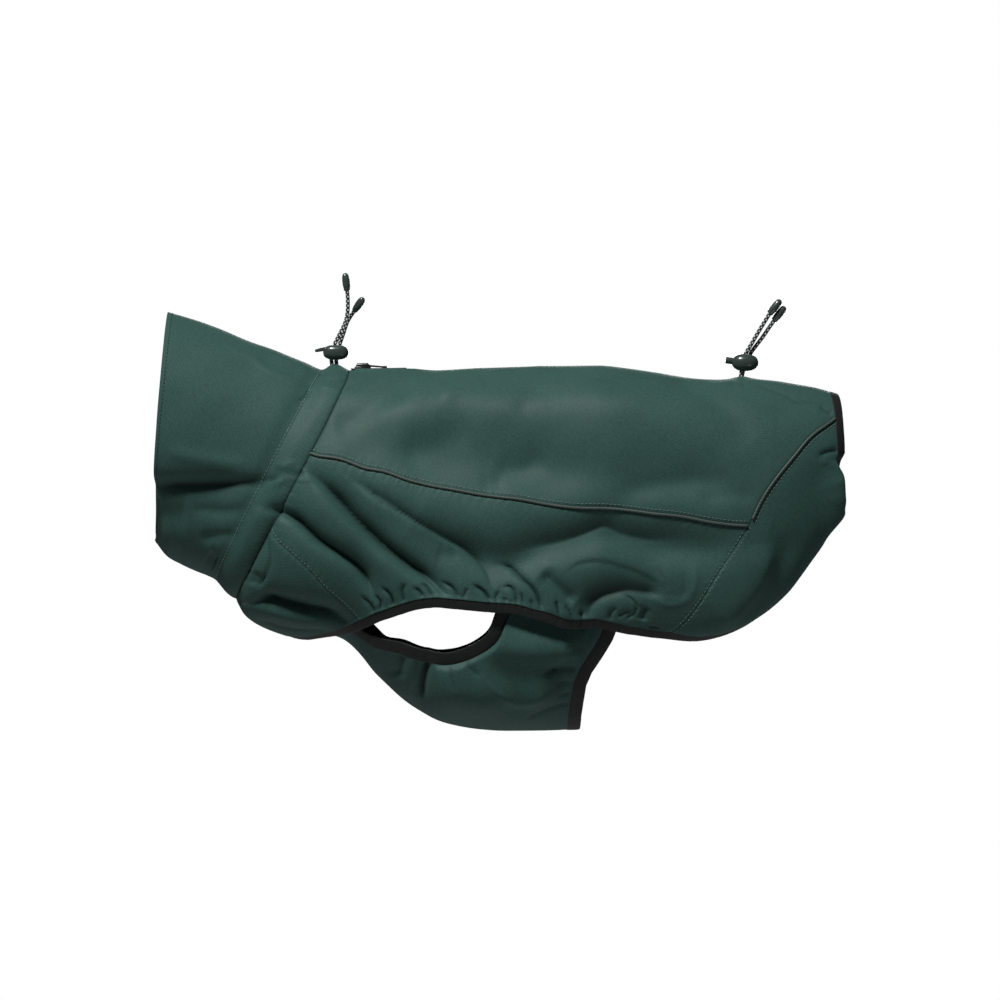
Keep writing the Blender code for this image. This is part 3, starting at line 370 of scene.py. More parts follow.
# Shape of a moulded end: share of its length, share of its radius
TIP_PROFILE = [(0.0, 0.72), (0.03, 0.80), (0.09, 0.84), (0.16, 0.84), (0.19, 0.90), (0.30, 0.97),
               (0.50, 1.0), (0.70, 0.97), (0.84, 0.88), (0.93, 0.70), (0.985, 0.42), (1.0, 0.12)]

# The two cord locks: name, node, centre, radii, and 2 for an oval or more for a squarer form
LOCKS = [("cord_lock_neck", "neck_cord_lock", (-100.5, 0, 14.0), (9.6, 6.6, 5.6), 2.6),
         ("cord_lock_rear", "rear_cord_lock", (206.3, 0, 6.4), (10.0, 7.5, 6.6), 2.3)]
LEVER_SIZE = (12.0, 7.0, 3.1)
LEVER_CENTRE = (-110.2, 0, 16.1)
LEVER_TILT = 12
LEVER_TAPER = (0.3, 0.25)  # in width, in thickness
BUTTON_CENTRE = (195.3, 0, 7.7)
BUTTON_RADIUS = 2.5
BUTTON_LONG = 7.5
BUTTON_TILT = 8

ZIP_START, ZIP_END = 0.16, 3.5          # stations
ZIP_HALF_ANGLE = 6.0
ZIP_LIP = (9.6, 2.6, 2.0)  # from the zip's middle, half width, height
ZIP_REACH = (-88, -22)     # x
ZIP_FADE = (4, 32)
ZIP_THICK = 0.9
TOOTH_PITCH = 1.5
TOOTH_SIZE = (0.95, 2.6, 0.95)
TOOTH_AWAY = 0.9           # from the zip's middle
TOOTH_OUT = 0.15           # over the tape
COIL_INSET = (0.25, 0.15)  # stations from the tape's ends
SLIDER_CENTRE = (-80.2, 0, 3.95)
SLIDER_SIZE = (12.4, 8.5, 4.2)
SLIDER_BASE = 1.2          # thickness of its plate
SLIDER_TAPER = (0.3, 0.1)  # share of the width that is cut away at its rear and front
# Its upper plate, in shares of the plate: length, width, thickness, height
SLIDER_TOP = (0.8, 0.7, 1.6, 1.9)
BAIL_WIDTH = 2.0
BAIL_RADIUS = 0.6
BAIL_ENDS = (-85.6, -75.2)
BAIL_FOOT = 0.3            # how far it goes down into the plate
BAIL_UNDER = 0.55          # its middle is this far under the slider's full height
BAIL_BEND = 0.16           # share of its length over which each end rises
TAB_PIN = (-77.3, 0, 4.05)
TAB_SIZE = (15.8, 5.0, 1.3)
TAB_BAR = 1.0
TAB_EYE_END = 4.8
TAB_WAIST = (0.22, 0.55)   # share of the width that is cut away, and where
TAB_GRIP = (0.5, 0.8, 0.12)             # share of the thickness that is added, and where
EYE_GAP = 0.9              # the eye is wider than the bridge by this much
TAB_DROOP = 5

FLOOR_RADIUS = 5.0
FLOOR_HEIGHT = -3.0        # out of the photograph's view, which is a cut-out on white
# Name, place, what it is aimed at, size and power of each lamp
LAMPS = [("key", (-0.85, -1.5, 2.3), (0, 0, -0.1), 0.6, 108),
         ("low", (1.1, -1.7, -1.5), (0.1, 0, -0.2), 0.9, 3.5),
         ("far", (0.3, 2.6, 0.3), (0, 0, -0.1), 1.4, 36)]
FILL = 0.046
CAMERA_PLACE = (0.0225, -3.0, -0.09675)
CAMERA_LENS = 144


# ---------------------------------------------------------------- sizes and colours
def linear(colour):
    """An sRGB hex colour as linear red, green, blue and alpha."""
    levels = [int(colour[k:k + 2], 16) / 255 for k in (1, 3, 5)]
    return [*(v / 12.92 if v <= 0.04045 else ((v + 0.055) / 1.055) ** 2.4 for v in levels), 1.0]


def colour_setting(name, what, colour):
    return FloatVectorProperty(name=name, description=what, size=4, subtype="COLOR",
                               min=0, max=1, default=linear(colour))


def length_setting(name, what, millimetres):
    return FloatProperty(name=name, description=what, default=millimetres * MM, min=0.00005,
                         subtype="DISTANCE", unit="LENGTH")


class CoatSizes(bpy.types.PropertyGroup):
    """Sizes of the cloth and its sewing"""
    cloth: length_setting("Cloth", "Thickness of the softshell cloth", 1.5)
    edge: length_setting("Edge", "Rounding of the cloth's cut edges", 0.45)
    stitch: length_setting("Stitch", "Length of one stitch", 2.1)
    stitch_pitch: length_setting("Stitch pitch", "From one stitch to the next", 3.0)
    thread: length_setting("Thread", "Thickness of the sewing thread", 0.42)
    cord: length_setting("Cord", "Diameter of the drawcords", 3.0)


class CoatColours(bpy.types.PropertyGroup):
    """Colours of the cloth, trims and hardware"""
    cloth: colour_setting("Cloth", "Face of the softshell cloth", "#385650")
    # the darker yarns' colour; at 35 % of its level it also paints the shade in creases and in the
    # neck seam
    shade: colour_setting("Cloth, darker yarn", "The darker yarns of the cloth", "#223C37")
    binding: colour_setting("Binding", "Elastic binding and zip tape", "#111514")
    piping: colour_setting("Piping", "Piping cord in the seams", "#3A4B46")
    thread: colour_setting("Thread", "Top stitching", "#6F8A82")
    cord: colour_setting("Cord", "Drawcord", "#0E1111")
    fleck: colour_setting("Fleck", "Pale flecks in the drawcord", "#DDE2DE")
    plastic: colour_setting("Plastic", "Cord locks and cord ends", "#36423E")
    metal: colour_setting("Metal", "Zip slider and pull tab", "#585C5B")
    floor: colour_setting("Floor", "The studio floor", "#F4F4F2")


# ---------------------------------------------------------------- the surface
def smooth(value):
    value = np.clip(value, 0, 1)
    return value * value * (3 - 2 * value)


def unit(vectors):
    return vectors / np.linalg.norm(vectors, axis=-1, keepdims=True)


def rows_between(table, station):
    """The section at a station, on a smooth curve through the table's rows."""
    station = np.asarray(station, float)
    last = len(table) - 1
    ends = np.vstack([2 * table[0] - table[1], table, 2 * table[-1] - table[-2]])
    row = np.clip(np.floor(station).astype(int), 0, last - 1)
    part = (station - row)[..., None]
    before, here, ahead, beyond = ends[row], ends[row + 1], ends[row + 2], ends[row + 3]
    return 0.5 * (2 * here + (ahead - before) * part
                  + (2 * before - 5 * here + 4 * ahead - beyond) * part ** 2
                  + (3 * here - before - 3 * ahead + beyond) * part ** 3)


def skin(table, station, angle):
    """Points of the smooth outer form, without folds. A negative angle is on the right."""
    section = rows_between(table, station)
    top_x, top_z, low_x, low_z, half, gap, bow = np.moveaxis(section, -1, 0)
    turn = np.radians(np.abs(angle))
    side = np.where(np.asarray(angle) < 0, 1.0, -1.0)
    drop = (1 - np.cos(turn)) / 2
    lean = bow * np.abs(np.sin(turn)) * (1 + np.cos(turn)) / 1.3
    reach = np.where(turn <= math.pi / 2, half * np.sin(turn), gap + (half - gap) * np.sin(turn))
    return np.stack([top_x + (low_x - top_x) * drop + lean, side * reach,
                     top_z + (low_z - top_z) * drop], -1)


def own_normal(table, station, angle):
    step = 0.02
    along = skin(table, station + step, angle) - skin(table, station - step, angle)
    around = skin(table, station, angle + 1) - skin(table, station, angle - 1)
    normal = unit(np.cross(around, along))
    return -normal if table is NECK else normal


def outward(table, station, angle):
    """Unit normals of the smooth form, pointing out. Neck and body agree at their seam."""
    station = np.asarray(station, float) + 0 * np.asarray(angle, float)
    normal = own_normal(table, station, angle)
    if table is BELLY:
        return normal
    start = np.full(station.shape, 0.02)
    shared = own_normal(NECK, start, angle) + own_normal(BODY, start, angle)
    share = (1 - smooth(station / SEAM_BLEND))[..., None]
    return unit(normal * (1 - share) + share * shared / 2)


def read_off(wanted, run, rows):
    """Rows that stand at places along a run, read at the wanted places."""
    return np.stack([np.interp(wanted, run, column) for column in np.asarray(rows).T], -1)


def spline(points, count):
    """Points at even steps along a smooth curve through a short list."""
    points = np.asarray(points, float)
    fine = rows_between(points, np.linspace(0, len(points) - 1, 40 * len(points)))
    scale = (DEGREES_PER_STATION, 1) if points.shape[1] == 2 else 1
    lengths = running(fine * scale, 0)
    return read_off(np.linspace(0, lengths[-1], count), lengths, fine)


def at_shares(points, shares, count=300):
    """Points at shares, 0 to 1, of a smooth curve through a short list."""
    return read_off(shares, np.linspace(0, 1, count), spline(points, count))


def side_seam(reach):
    """Stations on the side seam, each with its angle."""
    fine = spline(SIDE_SEAM, 300)
    fine = fine[np.argsort(fine[:, 0])]
    return np.stack([reach, np.interp(reach, *fine.T)], -1)


def running(points, axis):
    """Lengths along a grid's rows or columns, from its first line of points."""
    steps_taken = np.linalg.norm(np.diff(points, axis=axis), axis=-1)
    first = np.zeros_like(np.take(steps_taken, [0], axis))
    return np.concatenate([first, np.cumsum(steps_taken, axis)], axis)


def crease(x, z, half_width, skew, roundness, course):
    """How much of a fold's depth each place has: 1 on its line, less beside it and at its ends."""
    course = rows_between(np.array(course, float),
                          np.linspace(0, len(course) - 1, 4 * len(course)))
    share = np.zeros(x.shape)
    reach = FOLD_REACH * half_width * (1 + abs(skew))
    near = ((x > course[:, 0].min() - reach) & (x < course[:, 0].max() + reach)
            & (z > course[:, 1].min() - reach) & (z < course[:, 1].max() + reach))
    if not near.any():
        return share
    place = np.stack([x[near], z[near]], -1)[:, None]
    start, ahead = course[:-1], np.diff(course, axis=0)
    length = np.linalg.norm(ahead, axis=1)
    part = np.clip(((place - start) * ahead).sum(-1) / length ** 2, 0, 1)
    off = place - start - part[..., None] * ahead
    nearest = np.linalg.norm(off, axis=-1).argmin(1)
    row = np.arange(len(nearest))
    off, ahead, part = off[row, nearest], ahead[nearest], part[row, nearest]
    on_left = ahead[:, 0] * off[:, 1] > ahead[:, 1] * off[:, 0]
    wide = half_width * np.where(on_left, 1 + skew, 1 - skew)
    beside = np.hypot(np.linalg.norm(off, axis=1) / wide, roundness) - roundness
    run = (np.cumsum(length)[nearest] - (1 - part) * length[nearest]) / length.sum()
    taper = smooth(np.minimum(run, 1 - run) / FOLD_ENDS[0] + FOLD_ENDS[1])
    share[near] = np.exp(-FOLD_FALL[0] * beside * (1 + FOLD_FALL[1] * roundness)) * taper
    return share


def folds(points):
    """How far folds and creases move the cloth out, and how much shade is painted along the sharp
    creases, 0 to 1.
    """
    x, y, z = np.moveaxis(points, -1, 0)
    right = y > 0
    x_here = np.where(right, x + FAR_SHIFT[0] * np.sin(z / FAR_SHIFT[1]), x)
    free = smooth(np.abs(y) / FLAT_NEAR)
    depth, dark = np.zeros(x.shape), np.zeros(x.shape)
    for table, roundness in ROUNDNESS:
        for half_width, deep, skew, *course in table:
            share = crease(x_here, z, half_width, skew, roundness, course)
            depth = depth + deep * share
            # sharp troughs also get painted shade: the cloth's colour is darkened along their line
            if table is CREASES and deep < 0:
                dark = dark + min(1, -deep / CREASE_SHADE_DEPTH) * share ** CREASE_SHADE_SHARPNESS
    return depth * np.where(right, FAR_STRENGTH, 1.0) * free, np.minimum(dark, 1) * free


def rises(points):
    """Rises of the cloth at the cords, and two lips of it beside the zip."""
    x, y, z = np.moveaxis(points, -1, 0)
    beside, wide, high = ZIP_LIP
    along = smooth((x - ZIP_REACH[0]) / ZIP_FADE[0]) * smooth((ZIP_REACH[1] - x) / ZIP_FADE[1])
    lips = high * np.exp(-((np.abs(y) - beside) / wide) ** 2) * along
    humps = sum(high * np.exp(-(np.hypot(x - place, y) / radius) ** 2)
                for place, radius, high in HUMPS)
    return smooth((z - HUMP_LEVEL[0]) / HUMP_LEVEL[1]) * (lips + humps)


def slack(points):
    """Low swells all over the cloth."""
    x, y, z = np.moveaxis(points, -1, 0)
    return sum(height * np.sin(x / along * WAVE + y / across * WAVE + z / down * WAVE + phase)
               for along, across, down, phase, height in SWELLS)


def tail_roll(points, station, angle):
    """How the rump cloth bulges and rolls in at the lower half of the tail opening."""
    low, end = (smooth((np.abs(angle) - start) / soft) for start, soft in TAIL_ANGLES)
    low = low * (1 - end)
    part = (np.asarray(station) - TAIL_FROM) / TAIL_RUN
    turned = smooth((part - TAIL_TURN) / (1 - TAIL_TURN))
    bulge = smooth(part / TAIL_TURN) * (1 - turned)
    back = low * (TAIL_BULGE * bulge - TAIL_ROLL[0] * turned)
    inward = -low * TAIL_ROLL[1] * turned * np.sign(points[..., 1])
    return np.stack([back, inward, 0 * back], -1)


def cloth(table, station, angle, out=0.0, folded=1.0):
    """Points of the cloth, moved out by a distance, with all or part of its folds."""
    points = skin(table, station, angle)
    move = out + folded * folds(points)[0] + rises(points) + slack(points)
    roll = tail_roll(points, station, angle) if table is BODY else 0.0
    return points + outward(table, station, angle) * move[..., None] + roll


def uneven(run, pitch, phase=0.0):
    """A wave of uneven pitch and height, about -1 to 1."""
    main = np.sin(WAVE * run / pitch + 1.6 * np.sin(run / 19.0 + phase) + phase)
    small = np.sin(WAVE * run / (0.57 * pitch) + 1.3 * np.sin(run / 11.0) + 2 + phase)
    return main * (0.7 + 0.3 * np.sin(run / 13.0 + 2 * phase)) * 0.75 + 0.35 * small


def steps(length, pitch=PITCH):
    """Places from edge to edge of a cloth, 0 to 1, closer near both edges."""
    near = EDGE_STEPS
    count = max(3, round((length - 2 * near[-1]) / pitch) + 1)
    middle = np.linspace(near[-1], length - near[-1], count)[1:-1]
    return np.concatenate([near, middle, length - near[::-1]]) / length


# ---------------------------------------------------------------- making pieces
def select_only(*pieces):
    """Select these pieces and nothing else. The first is the active one."""
    bpy.ops.object.select_all(action="DESELECT")
    for piece in pieces:
        piece.select_set(True)
    bpy.context.view_layer.objects.active = pieces[0]


def add_primitive(operator, **settings):
    """A new primitive, with nothing else selected."""
    bpy.ops.object.select_all(action="DESELECT")
    operator(**settings)
    return bpy.context.object


def edit_all(operator, **settings):
    """Run an edit mode operator on all of the active mesh."""
    bpy.ops.object.mode_set(mode="EDIT")
    bpy.ops.mesh.select_all(action="SELECT")
    operator(**settings)
    bpy.ops.object.mode_set(mode="OBJECT")


def modify(piece, kind, **settings):
    """Apply a modifier with these settings."""
    modifier = piece.modifiers.new(kind.lower(), kind)
    for name, value in settings.items():
        setattr(modifier, name, value)
    select_only(piece)
    bpy.ops.object.modifier_apply(modifier=modifier.name)


def round_edges(piece, width, segments=3, angle=50):
    modify(piece, "BEVEL", width=width * MM, segments=segments, limit_method="ANGLE",
           angle_limit=math.radians(angle))


def placed(centre, turn=0, size=None):
    """A matrix for a size and a centre in mm, and a turn about Y in degrees."""
    scale = Vector(size) * MM if size else (1, 1, 1)
    return (Matrix.Translation(Vector(centre) * MM) @ Matrix.Rotation(math.radians(turn), 4, "Y")
            @ Matrix.Diagonal((*scale, 1)))


def block(centre, size, cuts=0):
    """A cube at its size and place, with its faces cut up for shaping."""
    piece = add_primitive(bpy.ops.mesh.primitive_cube_add, size=1)
    piece.data.transform(placed(centre, size=size))
    if cuts:
        edit_all(bpy.ops.mesh.subdivide, number_cuts=cuts)
    return piece


def mesh_grid(name, points, uv=None, dark=None):
    """A grid whose points, in mm, are moved into place. Points that meet are merged."""
    rows, columns = points.shape[:2]
    piece = add_primitive(bpy.ops.mesh.primitive_grid_add, x_subdivisions=columns - 1,
                          y_subdivisions=rows - 1, size=2)
    piece.name = piece.data.name = name
    mesh = piece.data
    flat = np.empty(len(mesh.vertices) * 3)
    mesh.vertices.foreach_get("co", flat)
    flat = flat.reshape(-1, 3)
    column = np.rint((flat[:, 0] + 1) / 2 * (columns - 1)).astype(int)
    row = np.rint((flat[:, 1] + 1) / 2 * (rows - 1)).astype(int)
    mesh.vertices.foreach_set("co", (points[row, column] * MM).ravel())
    if uv is None:
        uv = np.stack([running(points, 1), running(points, 0)], -1)
    corner = np.empty(len(mesh.loops), dtype=np.int32)
    mesh.loops.foreach_get("vertex_index", corner)
    mesh.uv_layers.active.data.foreach_set("uv", (uv[row, column][corner] * MM).ravel())
    # dark is painted shade, 0 to 1: the crease attribute darkens the cloth's colour there
    if dark is not None:
        shade_lines = mesh.attributes.new("crease", "FLOAT", "POINT")
        shade_lines.data.foreach_set("value", dark[row, column])
    mesh.update()
    edit_all(bpy.ops.mesh.remove_doubles, threshold=MEET)
    mesh.shade_smooth()
    return piece


def finish(piece, slot, finish_name, *nodes, body="coat"):
    """Give a piece its material and its place in the frame."""
    piece.data.materials.clear()
    piece.data.materials.append(material(finish_name))
    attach(piece, body)
    if nodes:
        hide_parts(*nodes)
    return piece


def finish_hard(piece, name, finish_name, node, body="coat", angle=45):
    """Name a moulded or cast piece, keep its sharp edges and finish it."""
    piece.name = piece.data.name = name
    select_only(piece)
    bpy.ops.object.shade_smooth_by_angle(angle=math.radians(angle))
    return finish(piece, finish_name, finish_name, node, body=body)


def sweep(name, centres, side, normal, section, closed=False):
    """A section carried along a course: section(run) gives offsets to the side and out."""
    run = running(centres, 0)
    places = section(run)
    points = (centres[:, None] + side[:, None] * places[..., :1]
              + normal[:, None] * places[..., 1:])
    uv = np.stack([running(places, 1), np.repeat(run[:, None], places.shape[1], 1)], -1)
    if not closed:
        ends = [np.broadcast_to(centres[k, None, None], points[:1].shape) for k in (0, -1)]
        points = np.concatenate([ends[0], points, ends[1]])
        uv = np.concatenate([uv[:1], uv, uv[-1:]])
    piece = mesh_grid(name, points, uv)
    select_only(piece)
    edit_all(bpy.ops.mesh.normals_make_consistent, inside=False)
    return piece


def round_section(radius, sides=16):
    turn = np.linspace(0, 2 * math.pi, sides + 1)
    ring = np.stack([np.cos(turn), np.sin(turn)], -1) * radius
    return lambda run: np.repeat(ring[None], len(run), 0)


def strap_section(width, thick, lap, phase=0.0):
    """A flat strap with rounded edges that reaches from over the cloth to its own edge."""
    turn = np.linspace(0, 2 * math.pi, 25)
    flat = (np.sign(np.cos(turn)) * np.abs(np.cos(turn)) ** 0.55 * (width + lap) / 2
            + (width - lap) / 2)
    thickness = np.sign(np.sin(turn)) * np.abs(np.sin(turn)) ** 0.5 * thick / 2

    def section(run):
        crimp = 1 + CRIMP * uneven(run, CRIMP_PITCH, phase)
        return np.stack([np.repeat(flat[None], len(run), 0), thickness[None] * crimp[:, None]], -1)
    return section


def tube(name, points, radius, sides):
    """A round cord along points."""
    ahead = unit(np.gradient(points, axis=0))
    side = unit(np.cross(ahead, (0, 1, 0)))
    return sweep(name, points, side, np.cross(side, ahead), round_section(radius, sides))


def copies(name, model, places):
    """One mesh that holds a copy of a model at each place, which is a 4x4 matrix."""
    count = len(model.data.vertices)
    corners = np.array([vertex.co for vertex in model.data.vertices])
    faces = [tuple(face.vertices) for face in model.data.polygons]
    points = np.einsum("nij,vj->nvi", places[:, :3, :3], corners) + places[:, None, :3, 3]
    mesh = bpy.data.meshes.new(name)
    mesh.from_pydata(points.reshape(-1, 3), [],
                     [tuple(v + k * count for v in face) for k in range(len(places))
                      for face in faces])
    mesh.shade_smooth()
    bpy.data.objects.remove(model, do_unlink=True)
    piece = bpy.data.objects.new(name, mesh)
    bpy.context.scene.collection.objects.link(piece)
    return piece


# ---------------------------------------------------------------- materials
def add_node(tree, kind, settings=None, values=None, links=None):
    """A node with its own settings, the values of its sockets and the links into them."""
    node = tree.nodes.new(kind)
    for name, value in (settings or {}).items():
        setattr(node, name, value)
    for name, value in (values or {}).items():
        node.inputs[name].default_value = value
    for name, source in (links or {}).items():
        tree.links.new(source, node.inputs[name])
    return node


def new_material(name, values):
    """A material whose shader's sockets have these values, and its node tree."""
    made = bpy.data.materials.new(name)
    made.use_nodes = True
    for socket, value in values.items():
        made.node_tree.nodes["Principled BSDF"].inputs[socket].default_value = value
    return made, made.node_tree


def link_shader(made, links):
    """Link outputs of nodes to the sockets of a material's shader."""
    tree = made.node_tree
    for socket, source in links.items():
        tree.links.new(source, tree.nodes["Principled BSDF"].inputs[socket])
    return made


def scaled(colour, by):
    """A darker or a brighter colour."""
    return [min(1.0, level * by) for level in colour[:3]] + [1]


def wave_scale(period_mm):
    """The Wave texture's scale for bands a real distance apart, on lengths in metres."""
    return 2 * math.pi / 20 / (period_mm * MM)


# A noise texture's scale is in patches to a metre of the coat: 520 is one in 1.9 mm, 16 one
# in 62 mm, 190 one in 5.3 mm, 900 one in 1.1 mm, 260 one in 3.8 mm and 420 one in 2.4 mm.


def woven_softshell(colours):
    """Softshell: a polyester twill face, woven and brushed. Soft satin sheen, fine ribs."""
    made, tree = new_material("woven_polyester_softshell", {
        "Sheen Weight": 0.1, "Sheen Roughness": 0.4, "IOR": 1.5,
        "Specular IOR Level": 0.14, "Sheen Tint": (0.7, 0.9, 0.85, 1)})
    place = add_node(tree, "ShaderNodeTexCoord")
    # threads are 0.3 mm apart in the real cloth: drawn 1.1 and 1.5 mm apart, so they show
    ribs, picks = (add_node(tree, "ShaderNodeTexWave", {"bands_direction": direction},
                            {"Scale": wave_scale(apart), "Distortion": bent, "Detail": 1.0},
                            {"Vector": place.outputs["UV"]})
                   for direction, apart, bent in (("DIAGONAL", 1.5, 0.6), ("Y", 1.1, 0.4)))
    weave = add_node(tree, "ShaderNodeMath", {"operation": "MULTIPLY"}, None,
                     {0: ribs.outputs["Fac"], 1: picks.outputs["Fac"]})
    melange, patches = (add_node(tree, "ShaderNodeTexNoise", None,
                                 {"Scale": scale, "Detail": 3.0, "Roughness": rough},
                                 {"Vector": place.outputs["Object"]})
                        for scale, rough in ((520.0, 0.65), (16.0, 0.55)))
    yarns = add_node(tree, "ShaderNodeMath", {"operation": "MULTIPLY_ADD"}, {1: 0.35},
                     {0: weave.outputs[0], 2: melange.outputs["Fac"]})
    share = add_node(tree, "ShaderNodeMapRange", None,
                     {"From Min": 0.35, "From Max": 0.8, "To Min": 0.15, "To Max": 0.65},
                     {"Value": yarns.outputs[0]})
    worn = add_node(tree, "ShaderNodeMath", {"operation": "MULTIPLY_ADD"}, {1: 0.5},
                    {0: patches.outputs["Fac"], 2: share.outputs[0]})
    tint = add_node(tree, "ShaderNodeMix", {"data_type": "RGBA"},
                    {6: colours.shade, 7: colours.cloth}, {0: worn.outputs[0]})
    # light doesn't reach the bottom of a sharp crease: a darker line
    shade_lines = add_node(tree, "ShaderNodeAttribute", {"attribute_name": "crease"})
    # the same attribute also holds the painted shade of the neck seam's groove
    shade_painted = add_node(tree, "ShaderNodeMix", {"data_type": "RGBA"},
                       {7: scaled(colours.shade, 0.35)},
                       {0: shade_lines.outputs["Fac"], 6: tint.outputs[2]})
    gloss = add_node(tree, "ShaderNodeMapRange", None,
                     {"From Min": 0.3, "From Max": 0.7, "To Min": 0.5, "To Max": 0.6},
                     {"Value": patches.outputs["Fac"]})
    relief = add_node(tree, "ShaderNodeBump", None, {"Strength": 0.4, "Distance": 0.00014},
                      {"Height": weave.outputs[0]})
    grain = add_node(tree, "ShaderNodeBump", None, {"Strength": 0.12, "Distance": 0.00025},
                     {"Height": melange.outputs["Fac"], "Normal": relief.outputs[0]})
    return link_shader(made, {"Base Color": shade_painted.outputs[2], "Roughness": gloss.outputs[0],
                              "Normal": grain.outputs[0]})


def knitted_binding(colours):
    """Elastic binding: nylon and rubber knitted flat. Matt black, fine ribs across."""
    made, tree = new_material("knitted_elastic_binding", {
        "Base Color": colours.binding, "Roughness": 0.6, "Specular IOR Level": 0.3,
        "Sheen Weight": 0.05, "Sheen Roughness": 0.5})
    place = add_node(tree, "ShaderNodeTexCoord")
    # ribs are 1.0 mm apart along the binding and rows 1.2 mm apart across it
    ribs = add_node(tree, "ShaderNodeTexWave", {"bands_direction": "Y"},
                    {"Scale": wave_scale(1.0), "Distortion": 0.5, "Detail": 1.0},
                    {"Vector": place.outputs["UV"]})
    rows = add_node(tree, "ShaderNodeTexWave", {"bands_direction": "X"},
                    {"Scale": wave_scale(1.2), "Distortion": 0.3},
                    {"Vector": place.outputs["UV"]})
    knit = add_node(tree, "ShaderNodeMath", {"operation": "MULTIPLY"}, None,
                    {0: ribs.outputs["Fac"], 1: rows.outputs["Fac"]})
    crumple = add_node(tree, "ShaderNodeTexNoise", None, {"Scale": 190.0, "Detail": 2.0},
                       {"Vector": place.outputs["Object"]})
    fine = add_node(tree, "ShaderNodeBump", None, {"Strength": 0.6, "Distance": 0.00018},
                    {"Height": knit.outputs[0]})
    bent = add_node(tree, "ShaderNodeBump", None, {"Strength": 0.3, "Distance": 0.0008},
                    {"Height": crumple.outputs["Fac"], "Normal": fine.outputs[0]})
    return link_shader(made, {"Normal": bent.outputs[0]})


def woven_trim(name, colour, period_mm):
    """Woven polyester trim: a plain weave, matt, its threads drawn coarse enough to show."""
    made, tree = new_material(name, {"Roughness": 0.6, "Sheen Weight": 0.3,
                                     "Sheen Roughness": 0.5})
    place = add_node(tree, "ShaderNodeTexCoord")
    twist = add_node(tree, "ShaderNodeTexWave", {"bands_direction": "DIAGONAL"},
                     {"Scale": wave_scale(period_mm), "Distortion": 0.3},
                     {"Vector": place.outputs["UV"]})
    tint = add_node(tree, "ShaderNodeMix", {"data_type": "RGBA"},
                    {6: scaled(colour, 0.6), 7: tuple(colour)}, {0: twist.outputs["Fac"]})
    relief = add_node(tree, "ShaderNodeBump", None, {"Strength": 0.6, "Distance": 0.0002},
                      {"Height": twist.outputs["Fac"]})
    return link_shader(made, {"Base Color": tint.outputs[2], "Normal": relief.outputs[0]})


def spun_thread(colours):
    """Polyester sewing thread: two plies twisted, a little lighter than the cloth."""
    made, tree = new_material("spun_polyester_thread", {"Roughness": 0.5, "Sheen Weight": 0.3})
    place = add_node(tree, "ShaderNodeTexCoord")
    fuzz = add_node(tree, "ShaderNodeTexNoise", None, {"Scale": 900.0, "Detail": 2.0},
                    {"Vector": place.outputs["Object"]})
    tint = add_node(tree, "ShaderNodeMix", {"data_type": "RGBA"},
                    {6: scaled(colours.thread, 0.65), 7: tuple(colours.thread)},
                    {0: fuzz.outputs["Fac"]})
    return link_shader(made, {"Base Color": tint.outputs[2]})


def braided_cord(colours):
    """Elastic shock cord: a rubber core in a round polyester braid, black with pale flecks."""
    made, tree = new_material("braided_elastic_cord", {"Roughness": 0.55, "Sheen Weight": 0.2})
    place = add_node(tree, "ShaderNodeTexCoord")
    bands = []
    for lean in (1, -1):
        turned = add_node(tree, "ShaderNodeMapping", None,
                          {"Rotation": (0, 0, lean * math.radians(45))},
                          {"Vector": place.outputs["UV"]})
        # one strand of the braid is 0.6 mm wide: drawn 1.7 mm wide, so the flecks show
        bands.append(add_node(tree, "ShaderNodeTexWave", {"bands_direction": "X"},
                              {"Scale": wave_scale(2.36)}, {"Vector": turned.outputs[0]}))
    crossing, strands = (add_node(tree, "ShaderNodeMath", {"operation": operation}, None,
                                  {k: band.outputs["Fac"] for k, band in enumerate(bands)})
                         for operation in ("MULTIPLY", "MAXIMUM"))
    fleck = add_node(tree, "ShaderNodeMapRange", None,
                     {"From Min": 0.42, "From Max": 0.55}, {"Value": crossing.outputs[0]})
    tint = add_node(tree, "ShaderNodeMix", {"data_type": "RGBA"},
                    {6: colours.cord, 7: colours.fleck}, {0: fleck.outputs[0]})
    relief = add_node(tree, "ShaderNodeBump", None, {"Strength": 0.7, "Distance": 0.0003},
                      {"Height": strands.outputs[0]})
    return link_shader(made, {"Base Color": tint.outputs[2], "Normal": relief.outputs[0]})


def moulded_acetal(colours):
    """Acetal, injection moulded: dark, with a smooth gloss that is a little uneven."""
    made, tree = new_material("moulded_acetal", {
        "Base Color": colours.plastic, "IOR": 1.48, "Coat Weight": 0.5, "Coat Roughness": 0.12})
    place = add_node(tree, "ShaderNodeTexCoord")
    flow = add_node(tree, "ShaderNodeTexNoise", None, {"Scale": 260.0, "Detail": 2.0},
                    {"Vector": place.outputs["Object"]})
    gloss = add_node(tree, "ShaderNodeMapRange", None, {"To Min": 0.2, "To Max": 0.34},
                     {"Value": flow.outputs["Fac"]})
    relief = add_node(tree, "ShaderNodeBump", None, {"Strength": 0.12, "Distance": 0.0002},
                      {"Height": flow.outputs["Fac"]})
    return link_shader(made, {"Roughness": gloss.outputs[0], "Normal": relief.outputs[0]})


def plated_zinc(colours):
    """Zinc, die cast and dark plated: soft metal gloss, rubbed brighter in small places."""
    made, tree = new_material("plated_cast_zinc", {"Metallic": 1.0})
    place = add_node(tree, "ShaderNodeTexCoord")
    rub = add_node(tree, "ShaderNodeTexNoise", None, {"Scale": 420.0, "Detail": 4.0},
                   {"Vector": place.outputs["Object"]})
    tint = add_node(tree, "ShaderNodeMix", {"data_type": "RGBA"},
                    {6: tuple(colours.metal), 7: scaled(colours.metal, 1.5)},
                    {0: rub.outputs["Fac"]})
    gloss = add_node(tree, "ShaderNodeMapRange", None, {"To Min": 0.22, "To Max": 0.42},
                     {"Value": rub.outputs["Fac"]})
    return link_shader(made, {"Base Color": tint.outputs[2], "Roughness": gloss.outputs[0]})


